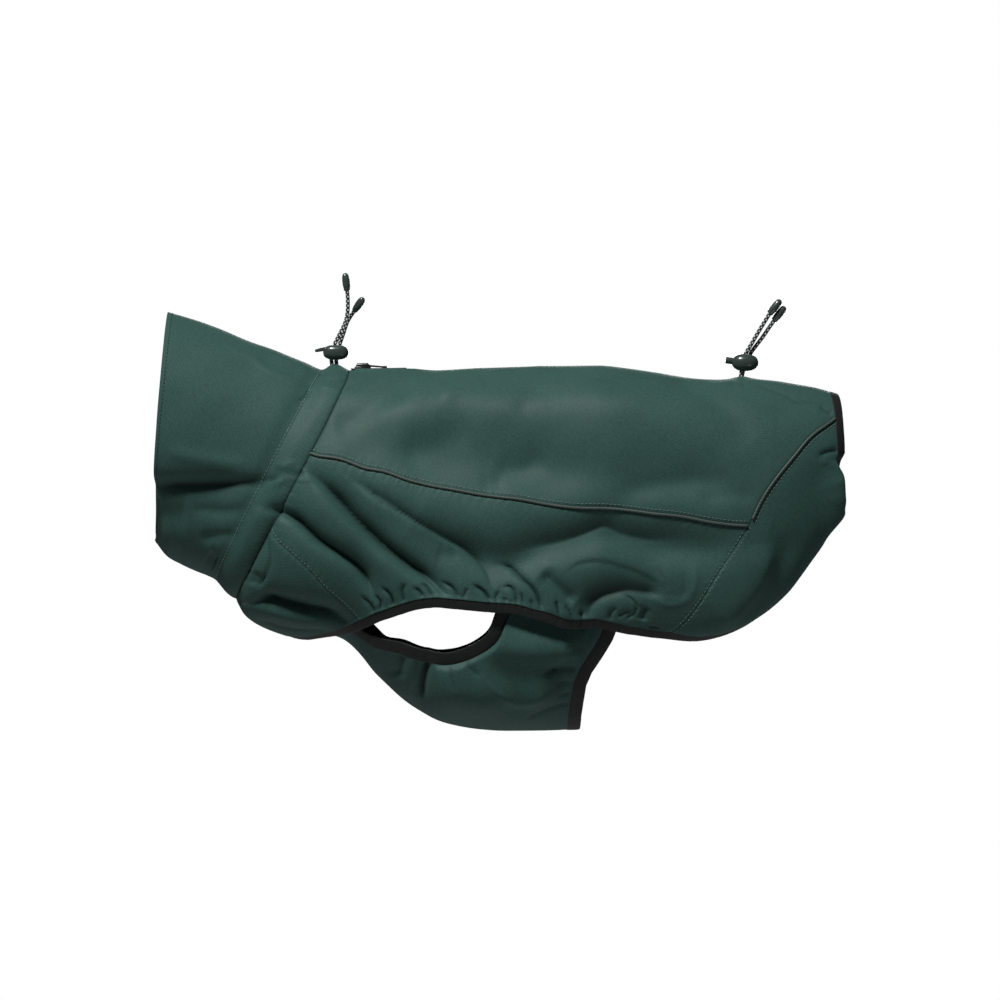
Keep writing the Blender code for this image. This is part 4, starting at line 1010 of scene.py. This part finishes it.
# the two trims' threads are 0.4 mm apart in the real weave: drawn 1.3 and 1.1 mm apart
MAKERS = {"cloth": woven_softshell, "binding": knitted_binding, "thread": spun_thread,
          "cord": braided_cord, "plastic": moulded_acetal, "metal": plated_zinc,
          "piping": lambda colours: woven_trim("woven_piping_tape", colours.piping, 1.3),
          "tape": lambda colours: woven_trim("woven_zip_tape", colours.binding, 1.1)}
MATERIALS = {}


def material(key):
    """The coat's finishes, each made once."""
    if key not in MATERIALS:
        MATERIALS[key] = MAKERS[key](bpy.context.scene.coat_colours)
    return MATERIALS[key]


# ---------------------------------------------------------------- cloth
def neck_ring(first, last, height):
    rows = first + (last - first) * steps(height)
    return np.meshgrid(rows, np.linspace(-KEEL, KEEL, RING_POINTS), indexing="ij")


def back_grid():
    """Stations and angles of the back panel, right seam to left seam."""
    seam = np.concatenate([side_seam(np.linspace(0, SIDE_SEAM[-1][0], 150)),
                           spline(REAR_SEAM, 60)[1:]])
    shares = np.linspace(0, 1, len(seam))
    station, edge = read_off(steps(370, pitch=2.0), shares, seam).T[..., None]
    across = steps(250, pitch=2.0)[None] * 2 - 1
    return station + 0 * across, edge * across


def seam_station(angle):
    """The rump seam's station at an angle."""
    seam = spline(RUMP_SEAM, 200)
    return np.interp(angle, seam[:, 1], seam[:, 0])


def side_grid():
    """Stations and angles of the left side panel, and the columns that end on the hem.

    It runs down from the side seam to the chest seam and then to the hem.
    """
    chest, hem = spline(CHEST_SEAM, 200), spline(HEM, 500)
    low = np.concatenate([chest[:-1], hem])
    reach = np.interp(hem[:, 0], [HEM[0][0], HEM[-1][0]], [SIDE_SPLIT, SIDE_SEAM[-1][0]])
    reach = np.concatenate([np.linspace(0, SIDE_SPLIT, len(chest))[:-1], reach])
    run = running(skin(BODY, *low.T), 0)
    wanted = steps(run[-1], pitch=1.2) * run[-1]
    on_hem = np.interp(wanted, run, np.arange(len(run))) >= len(chest) - 1
    top, low = side_seam(np.interp(wanted, run, reach)), read_off(wanted, run, low)
    coarse, fine = steps(150, pitch=2.6), steps(150, pitch=1.1)
    part = np.concatenate([coarse[coarse < SIDE_FINE_FROM], fine[fine >= SIDE_FINE_FROM]])
    part = np.unique(np.round(part, 4))[:, None, None]
    grid = (1 - part) * top[None] + part * low[None]
    pull = np.interp(skin(BODY, *low.T)[:, 0], *RUMP_PULL) * on_hem
    lean = seam_station(grid[:, -1, 1]) - grid[:, -1, 0]
    grid[..., 0] += lean[:, None] * pull[None]
    return grid, on_hem


def rump_grid():
    """Stations and angles of the left rump panel, blended in from its four edges."""
    u, v = steps(85), steps(130)
    top, low = at_shares(REAR_SEAM, u), at_shares(RUMP_EDGE, u)
    front, rear = (top[k, 1] + (low[k, 1] - top[k, 1]) * v for k in (0, -1))
    front = np.stack([seam_station(front), front], -1)
    rear = np.stack([np.full(len(v), TAIL_STATION), rear], -1)
    u, v = u[None, :, None], v[:, None, None]
    corners = ((1 - u) * (1 - v) * top[0] + u * (1 - v) * top[-1]
               + (1 - u) * v * low[0] + u * v * low[-1])
    return ((1 - v) * top[None] + v * low[None] + (1 - u) * front[:, None]
            + u * rear[:, None] - corners)


def chest_grid(down=steps(80), across=steps(180) * 2 - 1):
    """Stations and angles of the chest panel, left seam to right seam under the keel."""
    seam = at_shares(CHEST_SEAM, down)
    middle = down[:, None] * CHEST_HEM[0][0]
    half = KEEL - seam[:, 1:]
    station = middle + (seam[:, :1] - middle) * across[None] ** 2
    edge = spline(CHEST_HEM, 100)
    wanted = np.interp(half[-1] * np.abs(across), KEEL - edge[:, 1], edge[:, 0])
    return station + (wanted - station[-1])[None] * down[:, None], KEEL + half * across[None]


def belly_grid(down=steps(290, pitch=1.4), across=steps(210, pitch=1.4)[None]):
    """Stations and angles of the belly panel, left edge to right edge under the keel."""
    left, right = (at_shares(edge, down, 600) for edge in (BELLY_EDGE, BELLY_EDGE_RIGHT))
    station = left[:, :1] * (1 - across) + right[:, :1] * across
    angle = left[:, 1:] * (1 - across) + (2 * KEEL - right[:, 1:]) * across
    rear = np.array(BELLY_REAR)
    edge_angle = left[:, 1:] * (1 - across) + right[:, 1:] * across
    from_edge = np.minimum(angle, 2 * KEEL - angle)
    pull = (np.interp(from_edge, rear[:, 1], rear[:, 0])
            - np.interp(edge_angle, rear[:, 1], rear[:, 0]))
    share = (station - left[0, 0]) / (left[-1, 0] - left[0, 0])
    return station + pull * share, angle


def make_cloth(node, table, station, angle, rolled, bound, inset=0.0):
    """A cloth panel with two faces and rounded edges.

    rolled gives the edges that a seam rolls in, and bound those that an elastic binding
    holds smooth. t and b are the first and last row, l and r the first and last column,
    and each has a weight for the whole edge or for each of its points.
    """
    name = "cloth_" + node
    sizes = bpy.context.scene.coat_sizes
    base = skin(table, station, angle)
    across, along = running(base, 1), running(base, 0)
    reach = {"t": (along, across), "b": (along[-1:] - along, across),
             "l": (across, along), "r": (across[:, -1:] - across, along)}
    lift = np.full(station.shape, -inset)
    for edge, weight in rolled.items():
        away, run = reach[edge]
        wave = uneven(run, PUCKER_PITCH, 0.7 * len(name))
        lift = (lift - SEAM_DIP * weight * np.exp(-(away / SEAM_ROLL) ** 2)
                + PUCKER * weight * wave * np.exp(-away / PUCKER_REACH))
    folded = np.ones(station.shape)
    for edge, weight in bound.items():
        held = weight * (1 - BOUND_FOLD) * np.exp(-(reach[edge][0] / BOUND_REACH) ** 2)
        folded = np.minimum(folded, 1 - held)
    points = cloth(table, station, angle, lift, folded)
    # painted shade: the crease lines, and a band along the neck seam's groove, darken the cloth's
    # colour through the crease attribute
    dark = folds(base)[1]
    if table is not BELLY:
        dark = np.maximum(dark, NECK_SEAM_SHADE * np.exp(-(station / NECK_SEAM_SHADE_WIDTH) ** 2))
    piece = mesh_grid(name, points, dark=dark)
    middle = piece.data.polygons[len(piece.data.polygons) // 2]
    row = np.argmin(np.linalg.norm(points.reshape(-1, 3) * MM - middle.center, axis=1))
    if np.dot(outward(table, station, angle).reshape(-1, 3)[row], middle.normal) < 0:
        piece.data.flip_normals()
    modify(piece, "SOLIDIFY", thickness=sizes.cloth, offset=-1)
    round_edges(piece, sizes.edge / MM, segments=2, angle=60)
    piece.data.shade_smooth()
    return finish(piece, "cloth", "cloth", node)


# ---------------------------------------------------------------- bindings and stitching
def edge_frame(table, course, out, away, folded=1.0):
    """Points along a cloth edge, with directions off the cloth and out of it."""
    station, angle = course.T
    edge = cloth(table, station, angle, out, folded)
    normals = outward(table, station, angle)
    side = np.cross(np.gradient(edge, axis=0), normals) * away
    if abs(abs(angle[0]) - KEEL) < 1:
        side[0, 1] = 0
    return edge, unit(side), normals


def make_binding(name, table, course, width, thick, out, away, closed=False):
    edge, side, normals = edge_frame(table, course, out, away, BOUND_FOLD)
    piece = sweep("binding_" + name, edge, side, normals,
                  strap_section(width + SEAM_GAP, thick, BINDING_LAP, len(name)), closed)
    return finish(piece, "trim", "binding", name)


def hem_line():
    """The whole hem of the left half: chest, leg arch, side and rump."""
    station, angle = chest_grid(np.linspace(0, 1, 60), np.linspace(-1, 1, 161))
    half = slice(80, 0, -1)
    chest = np.stack([station[-1, half], angle[-1, half]], -1)
    return np.concatenate([chest, spline(HEM, 260), spline(RUMP_EDGE, 100)[1:]])


def stitch_row(name, points, normals, finish_name):
    """Stitches along a line of points on the cloth."""
    sizes = bpy.context.scene.coat_sizes
    run = running(points, 0)
    count = int(run[-1] // (sizes.stitch_pitch / MM))
    middles = (np.arange(count) + 0.5) * run[-1] / count
    before, ahead = (read_off(middles + aim, run, points) for aim in (-STITCH_AIM, STITCH_AIM))
    ahead = unit(ahead - before)
    up = unit(read_off(middles, run, normals))
    side = unit(np.cross(up, ahead))
    places = np.zeros((count, 4, 4))
    places[:, :3, 0], places[:, :3, 1], places[:, :3, 2] = ahead, side, np.cross(ahead, side)
    places[:, :3, 3] = (read_off(middles, run, points) + up * STITCH_OUT) * MM
    model = add_primitive(bpy.ops.mesh.primitive_uv_sphere_add, segments=6, ring_count=5,
                          radius=0.5)
    model.data.transform(Matrix.Rotation(math.pi / 2, 4, "Y"))
    for vertex in model.data.vertices:
        reach = math.copysign(abs(vertex.co.x * 2) ** 0.5, vertex.co.x) / 2
        vertex.co = (reach * sizes.stitch, vertex.co.y * sizes.thread,
                     (vertex.co.z + 0.5) * sizes.thread * (1 - reach * reach * 3))
    return finish(copies("stitches_" + name, model, places), "piping", finish_name)


def seam_stitches(name, table, course, away_mm, sunk=0.0, finish_name="thread"):
    """Stitches a set distance from a seam line, on the side that away_mm's sign gives."""
    _, side, normals = edge_frame(table, course, 0.0, 1)
    flat = skin(table, *course.T) + side * away_mm
    move = folds(flat)[0] + rises(flat) + slack(flat)
    return stitch_row(name, flat + normals * (move - sunk)[:, None], normals, finish_name)


# ---------------------------------------------------------------- operators
class CoatOperator:
    bl_options = {"REGISTER", "UNDO"}


class COAT_OT_cords(CoatOperator, bpy.types.Operator):
    """Lay the four free ends of the two drawcords, each with its moulded end"""
    bl_idname = "coat.cords"
    bl_label = "Drawcords"

    def execute(self, context):
        diameter = context.scene.coat_sizes.cord
        for name, route, direction in CORDS:
            points = spline(route, 60)
            cord = tube("drawcord_" + name, points, diameter / MM / 2, 20)
            finish(cord, "cord", "cord", name)
            tip = self.cord_end(name + "_tip", points[-1], direction)
            running(points, 0)[-1] * MM
        return {"FINISHED"}

    @staticmethod
    def cord_end(name, end, direction):
        """A moulded barrel: a ring that is extruded and widened up its profile."""
        tip = add_primitive(bpy.ops.mesh.primitive_circle_add, vertices=28,
                            radius=TIP_PROFILE[0][1] * TIP_RADIUS * MM, fill_type="NGON")
        bpy.ops.object.mode_set(mode="EDIT")
        bpy.ops.mesh.select_all(action="SELECT")
        for (low, narrow), (high, wide) in zip(TIP_PROFILE[:-1], TIP_PROFILE[1:]):
            lift = (high - low) * TIP_LENGTH * MM
            bpy.ops.mesh.extrude_region_move(TRANSFORM_OT_translate={"value": (0, 0, lift)})
            bpy.ops.transform.resize(value=(wide / narrow, wide / narrow, 1))
        bpy.ops.object.mode_set(mode="OBJECT")
        edit_all(bpy.ops.mesh.normals_make_consistent, inside=False)
        along = Vector(direction).normalized()
        turn = along.to_track_quat("Z", "Y").to_matrix().to_4x4()
        tip.data.transform(Matrix.Translation((Vector(end) - along * TIP_GRIP) * MM) @ turn)
        return finish_hard(tip, "cord_end_" + name, "plastic", name, angle=40)


class COAT_OT_neck(CoatOperator, bpy.types.Operator):
    """Sew the collar and the cord casing at its foot"""
    bl_idname = "coat.neck"
    bl_label = "Collar and casing"

    def execute(self, context):
        collar = make_cloth("collar", NECK, *neck_ring(2, len(NECK) - 1, 125), {"t": 0.35}, {})
        casing = make_cloth("neck_casing", NECK, *neck_ring(0, 2, 20), {"t": 1.0, "b": 0.35}, {})
        return {"FINISHED"}


class COAT_OT_body(CoatOperator, bpy.types.Operator):
    """Sew the back, side, rump, chest and belly panels"""
    bl_idname = "coat.body"
    bl_label = "Body panels"

    def execute(self, context):
        back = make_cloth("back_panel", BODY, *back_grid(), {"t": 1, "l": 1, "r": 1}, {"b": 1})
        grid, on_hem = side_grid()
        seam = np.where(on_hem, 0.0, 1.0)[None]
        rolled = {"t": 1, "l": 1, "r": 1, "b": seam}
        rump = rump_grid()
        for name, side in SIDES:
            panel = make_cloth("side_panel_" + name, BODY, grid[..., 0], grid[..., 1] * side,
                               rolled, {"b": 1 - seam})
            panel = make_cloth("rump_panel_" + name, BODY, rump[..., 0], rump[..., 1] * side,
                               {"t": 1, "l": 1}, {"b": 1, "r": 1})
        chest = make_cloth("chest_panel", BODY, *chest_grid(), {"t": 1, "l": 1, "r": 1}, {"b": 1})
        belly = make_cloth("belly_panel", BELLY, *belly_grid(), {}, {"l": 1, "r": 1, "b": 1},
                           BELLY_INSET)
        return {"FINISHED"}


class COAT_OT_bindings(CoatOperator, bpy.types.Operator):
    """Bind the hem, the tail opening and the edges of the belly panel"""
    bl_idname = "coat.bindings"
    bl_label = "Bindings"

    def execute(self, context):
        hem = hem_line()
        for name, side in SIDES:
            make_binding("hem_binding_" + name, BODY, hem * (1, side), BINDING_WIDTH,
                         BINDING_THICK, -BINDING_SUNK, side)
        tail = np.stack([np.full(121, TAIL_STATION), np.linspace(KEEL, -KEEL, 121)], -1)
        make_binding("tail_binding", BODY, tail, TAIL_BINDING_WIDTH, BINDING_THICK, -WALL / 2,
                     1, True)
        inset = -WALL / 2 - BELLY_INSET
        for (name, side), edge in zip(SIDES, (BELLY_EDGE, BELLY_EDGE_RIGHT)):
            hole = spline(edge, 200)
            hole = hole[hole[:, 1] > BELLY_FREE]
            make_binding("belly_hole_binding_" + name, BELLY, hole * (1, side),
                         BELLY_BINDING_WIDTH, BELLY_BINDING_THICK, inset, -side)
        station, angle = belly_grid(np.linspace(0, 1, 60), np.linspace(0, 1, 160)[None])
        make_binding("belly_rear_binding", BELLY, np.stack([station[-1], angle[-1]], -1),
                     BELLY_BINDING_WIDTH, BELLY_BINDING_THICK, inset, -1)
        return {"FINISHED"}


class COAT_OT_piping(CoatOperator, bpy.types.Operator):
    """Set the piping cords in the seams round the back panel"""
    bl_idname = "coat.piping"
    bl_label = "Piping"

    def execute(self, context):
        courses = (("side", side_seam(np.linspace(0.02, SIDE_SEAM[-1][0] - 0.05, 220))),
                   ("rear", spline(REAR_SEAM, 110)[4:-3]))
        for name, side in SIDES:
            for place, course in courses:
                edge, across, normals = edge_frame(BODY, course * (1, side), PIPING_OUT, side)
                cord = sweep("piping_" + place + "_" + name, edge, across, normals,
                             round_section(PIPING_RADIUS, 14))
                finish(cord, "piping", "piping", place + "_piping_" + name)
        return {"FINISHED"}


class COAT_OT_stitching(CoatOperator, bpy.types.Operator):
    """Top stitch the rim, the casing and the seams"""
    bl_idname = "coat.stitching"
    bl_label = "Stitching"

    def execute(self, context):
        rim, casing = (np.stack([np.full(361, station), np.linspace(KEEL, -KEEL, 361)], -1)
                       for station in (RIM_STATION, CASING_STATION))
        seam_stitches("rim", NECK, rim, 0, finish_name="binding")
        seam_stitches("casing", NECK, casing, 0, CASING_SUNK)
        rows = (("side", side_seam(np.linspace(0.05, SIDE_SEAM[-1][0] - 0.05, 260)),
                 -TOP_STITCH, 0.0),
                ("rear", spline(REAR_SEAM, 120)[3:-2], TOP_STITCH, 0.0),
                ("rump_a", spline(RUMP_SEAM, 140), -ROW_GAP, STITCH_SUNK),
                ("rump_b", spline(RUMP_SEAM, 140), ROW_GAP, STITCH_SUNK),
                ("chest", spline(CHEST_SEAM, 120), -CHEST_STITCH, STITCH_SUNK))
        for name, side in SIDES:
            for row, course, away, sunk in rows:
                seam_stitches(row + "_" + name, BODY, course * (1, side), away * side, sunk)
        return {"FINISHED"}


class COAT_OT_zip(CoatOperator, bpy.types.Operator):
    """Set in the zip: its tape, coil, slider and pull tab"""
    bl_idname = "coat.zip"
    bl_label = "Zip"

    def execute(self, context):
        self.tape()
        self.coil()
        self.slider()
        self.pull_tab()
        return {"FINISHED"}

    @staticmethod
    def tape():
        station, angle = np.meshgrid(np.linspace(ZIP_START, ZIP_END, 90),
                                     np.linspace(-ZIP_HALF_ANGLE, ZIP_HALF_ANGLE, 21),
                                     indexing="ij")
        piece = mesh_grid("zip_tape_woven", cloth(BODY, station, angle, SEAM_GAP + ZIP_THICK))
        if piece.data.polygons[0].normal.z < 0:
            piece.data.flip_normals()
        modify(piece, "SOLIDIFY", thickness=ZIP_THICK * MM, offset=-1)
        finish(piece, "trim", "tape", "zip_tape")

    @staticmethod
    def coil():
        """One tooth of the nylon coil, copied in two rows that mesh."""
        course = np.linspace(ZIP_START + COIL_INSET[0], ZIP_END - COIL_INSET[1], 400)
        middle = cloth(BODY, course, 0 * course, SEAM_GAP + ZIP_THICK + TOOTH_OUT)
        run = running(middle, 0)
        places = []
        for row, side in enumerate((1, -1)):
            at = np.arange(row * TOOTH_PITCH / 2 + 1, run[-1], TOOTH_PITCH)
            teeth = read_off(at, run, middle) + (0, side * TOOTH_AWAY, 0)
            places += [np.array(placed(tooth)) for tooth in teeth]
        model = add_primitive(bpy.ops.mesh.primitive_uv_sphere_add, segments=8, ring_count=5,
                              radius=0.5)
        model.data.transform(placed((0, 0, 0), size=TOOTH_SIZE))
        finish(copies("zip_coil_nylon", model, np.array(places)), "trim", "plastic")

    @staticmethod
    def slider():
        """A cast plate with a waist and a bridge over it for the pull tab."""
        x, _, z = SLIDER_CENTRE
        long, wide, tall = SLIDER_SIZE
        low = z - tall / 2
        plate = block((x, 0, low + SLIDER_BASE / 2), (long, wide, SLIDER_BASE), 5)
        for vertex in plate.data.vertices:
            part = (vertex.co.x / MM - x) / (long / 2)
            vertex.co.y *= (1 - SLIDER_TAPER[0] * smooth(part)
                            - SLIDER_TAPER[1] * smooth(-part * 1.5 - 0.5))
        round_edges(plate, width=0.35)
        upper = block((x, 0, low + SLIDER_TOP[3] * SLIDER_BASE),
                      (SLIDER_TOP[0] * long, SLIDER_TOP[1] * wide, SLIDER_TOP[2] * SLIDER_BASE))
        round_edges(upper, width=0.4, angle=30)
        bail_x = np.linspace(*BAIL_ENDS, 25)
        part = (bail_x - bail_x[0]) / (bail_x[-1] - bail_x[0])
        foot = low + SLIDER_BASE - BAIL_FOOT
        height = z + tall / 2 - BAIL_UNDER - foot
        rise = foot + height * smooth(np.minimum(part, 1 - part) / BAIL_BEND)
        bail = tube("bail", np.stack([bail_x, 0 * bail_x, rise], -1), BAIL_RADIUS, 12)
        for vertex in bail.data.vertices:
            vertex.co.y *= BAIL_WIDTH / (2 * BAIL_RADIUS)
        select_only(plate, upper, bail)
        bpy.ops.object.join()
        finish_hard(plate, "zip_slider_cast", "metal", "zip_slider")

    @staticmethod
    def pull_tab():
        """A stamped tab with an eye round the bridge and a thicker, rounded end."""
        long = TAB_SIZE[0]
        tab = block((long / 2 - TAB_BAR / 2, 0, 0), TAB_SIZE, 7)
        for vertex in tab.data.vertices:
            part = vertex.co.x / MM / (long - TAB_BAR / 2)
            waist = float(smooth(abs(part - TAB_WAIST[1]) * -3 + 1))
            grip = float(smooth((part - TAB_GRIP[1]) / TAB_GRIP[2]))
            vertex.co.y *= 1 - TAB_WAIST[0] * waist
            vertex.co.z *= 1 + TAB_GRIP[0] * grip
        eye = block(((TAB_EYE_END + TAB_BAR / 2) / 2, 0, 0),
                    (TAB_EYE_END - TAB_BAR / 2, BAIL_WIDTH + EYE_GAP, 4))
        modify(tab, "BOOLEAN", operation="DIFFERENCE", object=eye)
        round_edges(tab, width=0.28)
        bpy.data.objects.remove(eye, do_unlink=True)
        tab.data.transform(placed(TAB_PIN, TAB_DROOP))
        finish_hard(tab, "zip_pull_tab_stamped", "metal", "zip_pull_tab", "pull_tab")


class COAT_OT_locks(CoatOperator, bpy.types.Operator):
    """Mould the two cord locks, with their lever and button"""
    bl_idname = "coat.locks"
    bl_label = "Cord locks"

    def execute(self, context):
        for lock in LOCKS:
            self.barrel(*lock)
        self.lever()
        self.button()
        return {"FINISHED"}

    @staticmethod
    def barrel(name, node, centre, radii, squareness):
        body = add_primitive(bpy.ops.mesh.primitive_uv_sphere_add, segments=56, ring_count=32,
                             radius=1)
        for vertex in body.data.vertices:
            total = sum(abs(part) ** squareness for part in vertex.co) ** (1 / squareness)
            vertex.co = vertex.co / total
        body.data.transform(placed(centre, size=radii))
        body.name = body.data.name = name
        body.data.shade_smooth()
        finish(body, "plastic", "plastic", node)

    @staticmethod
    def lever():
        lever = block((0, 0, 0), LEVER_SIZE, 5)
        for vertex in lever.data.vertices:
            front = smooth(-2 * vertex.co.x / MM / LEVER_SIZE[0])
            vertex.co.y *= 1 - LEVER_TAPER[0] * front
            vertex.co.z *= 1 - LEVER_TAPER[1] * front
        round_edges(lever, width=0.7)
        lever.data.transform(placed(LEVER_CENTRE, -LEVER_TILT))
        finish_hard(lever, "cord_lock_lever", "plastic", "neck_lock_lever")

    @staticmethod
    def button():
        button = add_primitive(bpy.ops.mesh.primitive_cylinder_add, vertices=32,
                               radius=BUTTON_RADIUS * MM, depth=BUTTON_LONG * MM)
        round_edges(button, width=0.9, segments=4)
        button.data.transform(placed(BUTTON_CENTRE, 90 + BUTTON_TILT))
        finish_hard(button, "cord_lock_button", "plastic", "rear_lock_button")


class COAT_OT_stage(CoatOperator, bpy.types.Operator):
    """Set the floor, the soft lights and the camera"""
    bl_idname = "coat.stage"
    bl_label = "Studio"

    def execute(self, context):
        scene = context.scene
        scene.view_settings.view_transform = "Standard"
        floor = add_primitive(bpy.ops.mesh.primitive_circle_add, vertices=96,
                              radius=FLOOR_RADIUS, fill_type="NGON",
                              location=(0, 0, FLOOR_HEIGHT))
        floor.name = "studio_floor"
        # a faint glow, as of evenly lit paper, throws a soft light up at the coat
        made, _ = new_material("matt_paper_floor", {
            "Base Color": scene.coat_colours.floor, "Roughness": 0.9,
            "Emission Color": (1, 1, 1, 1), "Emission Strength": 0.1})
        floor.data.materials.append(made)
        self.surround(scene)
        for name, place, aim, size, power in LAMPS:
            light = bpy.data.lights.new(name, "AREA")
            light.shape = "DISK"
            light.size = size
            light.energy = power
            lamp = bpy.data.objects.new(name, light)
            lamp.location = place
            lamp.rotation_euler = (Vector(aim) - Vector(place)).to_track_quat("-Z", "Y").to_euler()
            scene.collection.objects.link(lamp)
        view = bpy.data.cameras.new("camera")
        view.lens = CAMERA_LENS
        view.sensor_width = 36
        camera = bpy.data.objects.new("camera", view)
        camera.location = CAMERA_PLACE
        camera.rotation_euler = (math.pi / 2, 0, 0)
        scene.collection.objects.link(camera)
        scene.camera = camera
        return {"FINISHED"}

    @staticmethod
    def surround(scene):
        """White paper all round: full white to look at, and a soft fill for the coat."""
        world = bpy.data.worlds.new("white_studio")
        world.use_nodes = True
        scene.world = world
        tree = world.node_tree
        fill = tree.nodes["Background"]
        fill.inputs["Color"].default_value = (1, 1, 1, 1)
        fill.inputs["Strength"].default_value = FILL
        paper = add_node(tree, "ShaderNodeBackground", None, {"Color": (1, 1, 1, 1)})
        ray = add_node(tree, "ShaderNodeLightPath")
        mix = add_node(tree, "ShaderNodeMixShader", None, None,
                       {0: ray.outputs["Is Camera Ray"], 1: fill.outputs[0],
                        2: paper.outputs[0]})
        tree.links.new(mix.outputs[0], tree.nodes["World Output"].inputs[0])


STEPS = (COAT_OT_stage, COAT_OT_cords, COAT_OT_neck, COAT_OT_body, COAT_OT_bindings,
         COAT_OT_piping, COAT_OT_stitching, COAT_OT_zip, COAT_OT_locks)


class COAT_PT_panel(bpy.types.Panel):
    """The coat's sizes, colours and pieces"""
    bl_idname = "COAT_PT_panel"
    bl_label = "Dog Coat"
    bl_space_type = "VIEW_3D"
    bl_region_type = "UI"
    bl_category = "Dog Coat"

    def draw(self, context):
        for group in (context.scene.coat_sizes, context.scene.coat_colours):
            box = self.layout.box()
            for name in group.__annotations__:
                box.prop(group, name)
        for step in STEPS:
            self.layout.operator(step.bl_idname)


CLASSES = (CoatSizes, CoatColours, *STEPS, COAT_PT_panel)


def register():
    for item in CLASSES:
        bpy.utils.register_class(item)
    bpy.types.Scene.coat_sizes = PointerProperty(type=CoatSizes)
    bpy.types.Scene.coat_colours = PointerProperty(type=CoatColours)


def unregister():
    del bpy.types.Scene.coat_colours
    del bpy.types.Scene.coat_sizes
    for item in reversed(CLASSES):
        bpy.utils.unregister_class(item)


def main():
    register()
    for step in STEPS:
        group, name = step.bl_idname.split(".")
        getattr(getattr(bpy.ops, group), name)()
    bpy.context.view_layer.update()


if __name__ == "__main__":
    main()
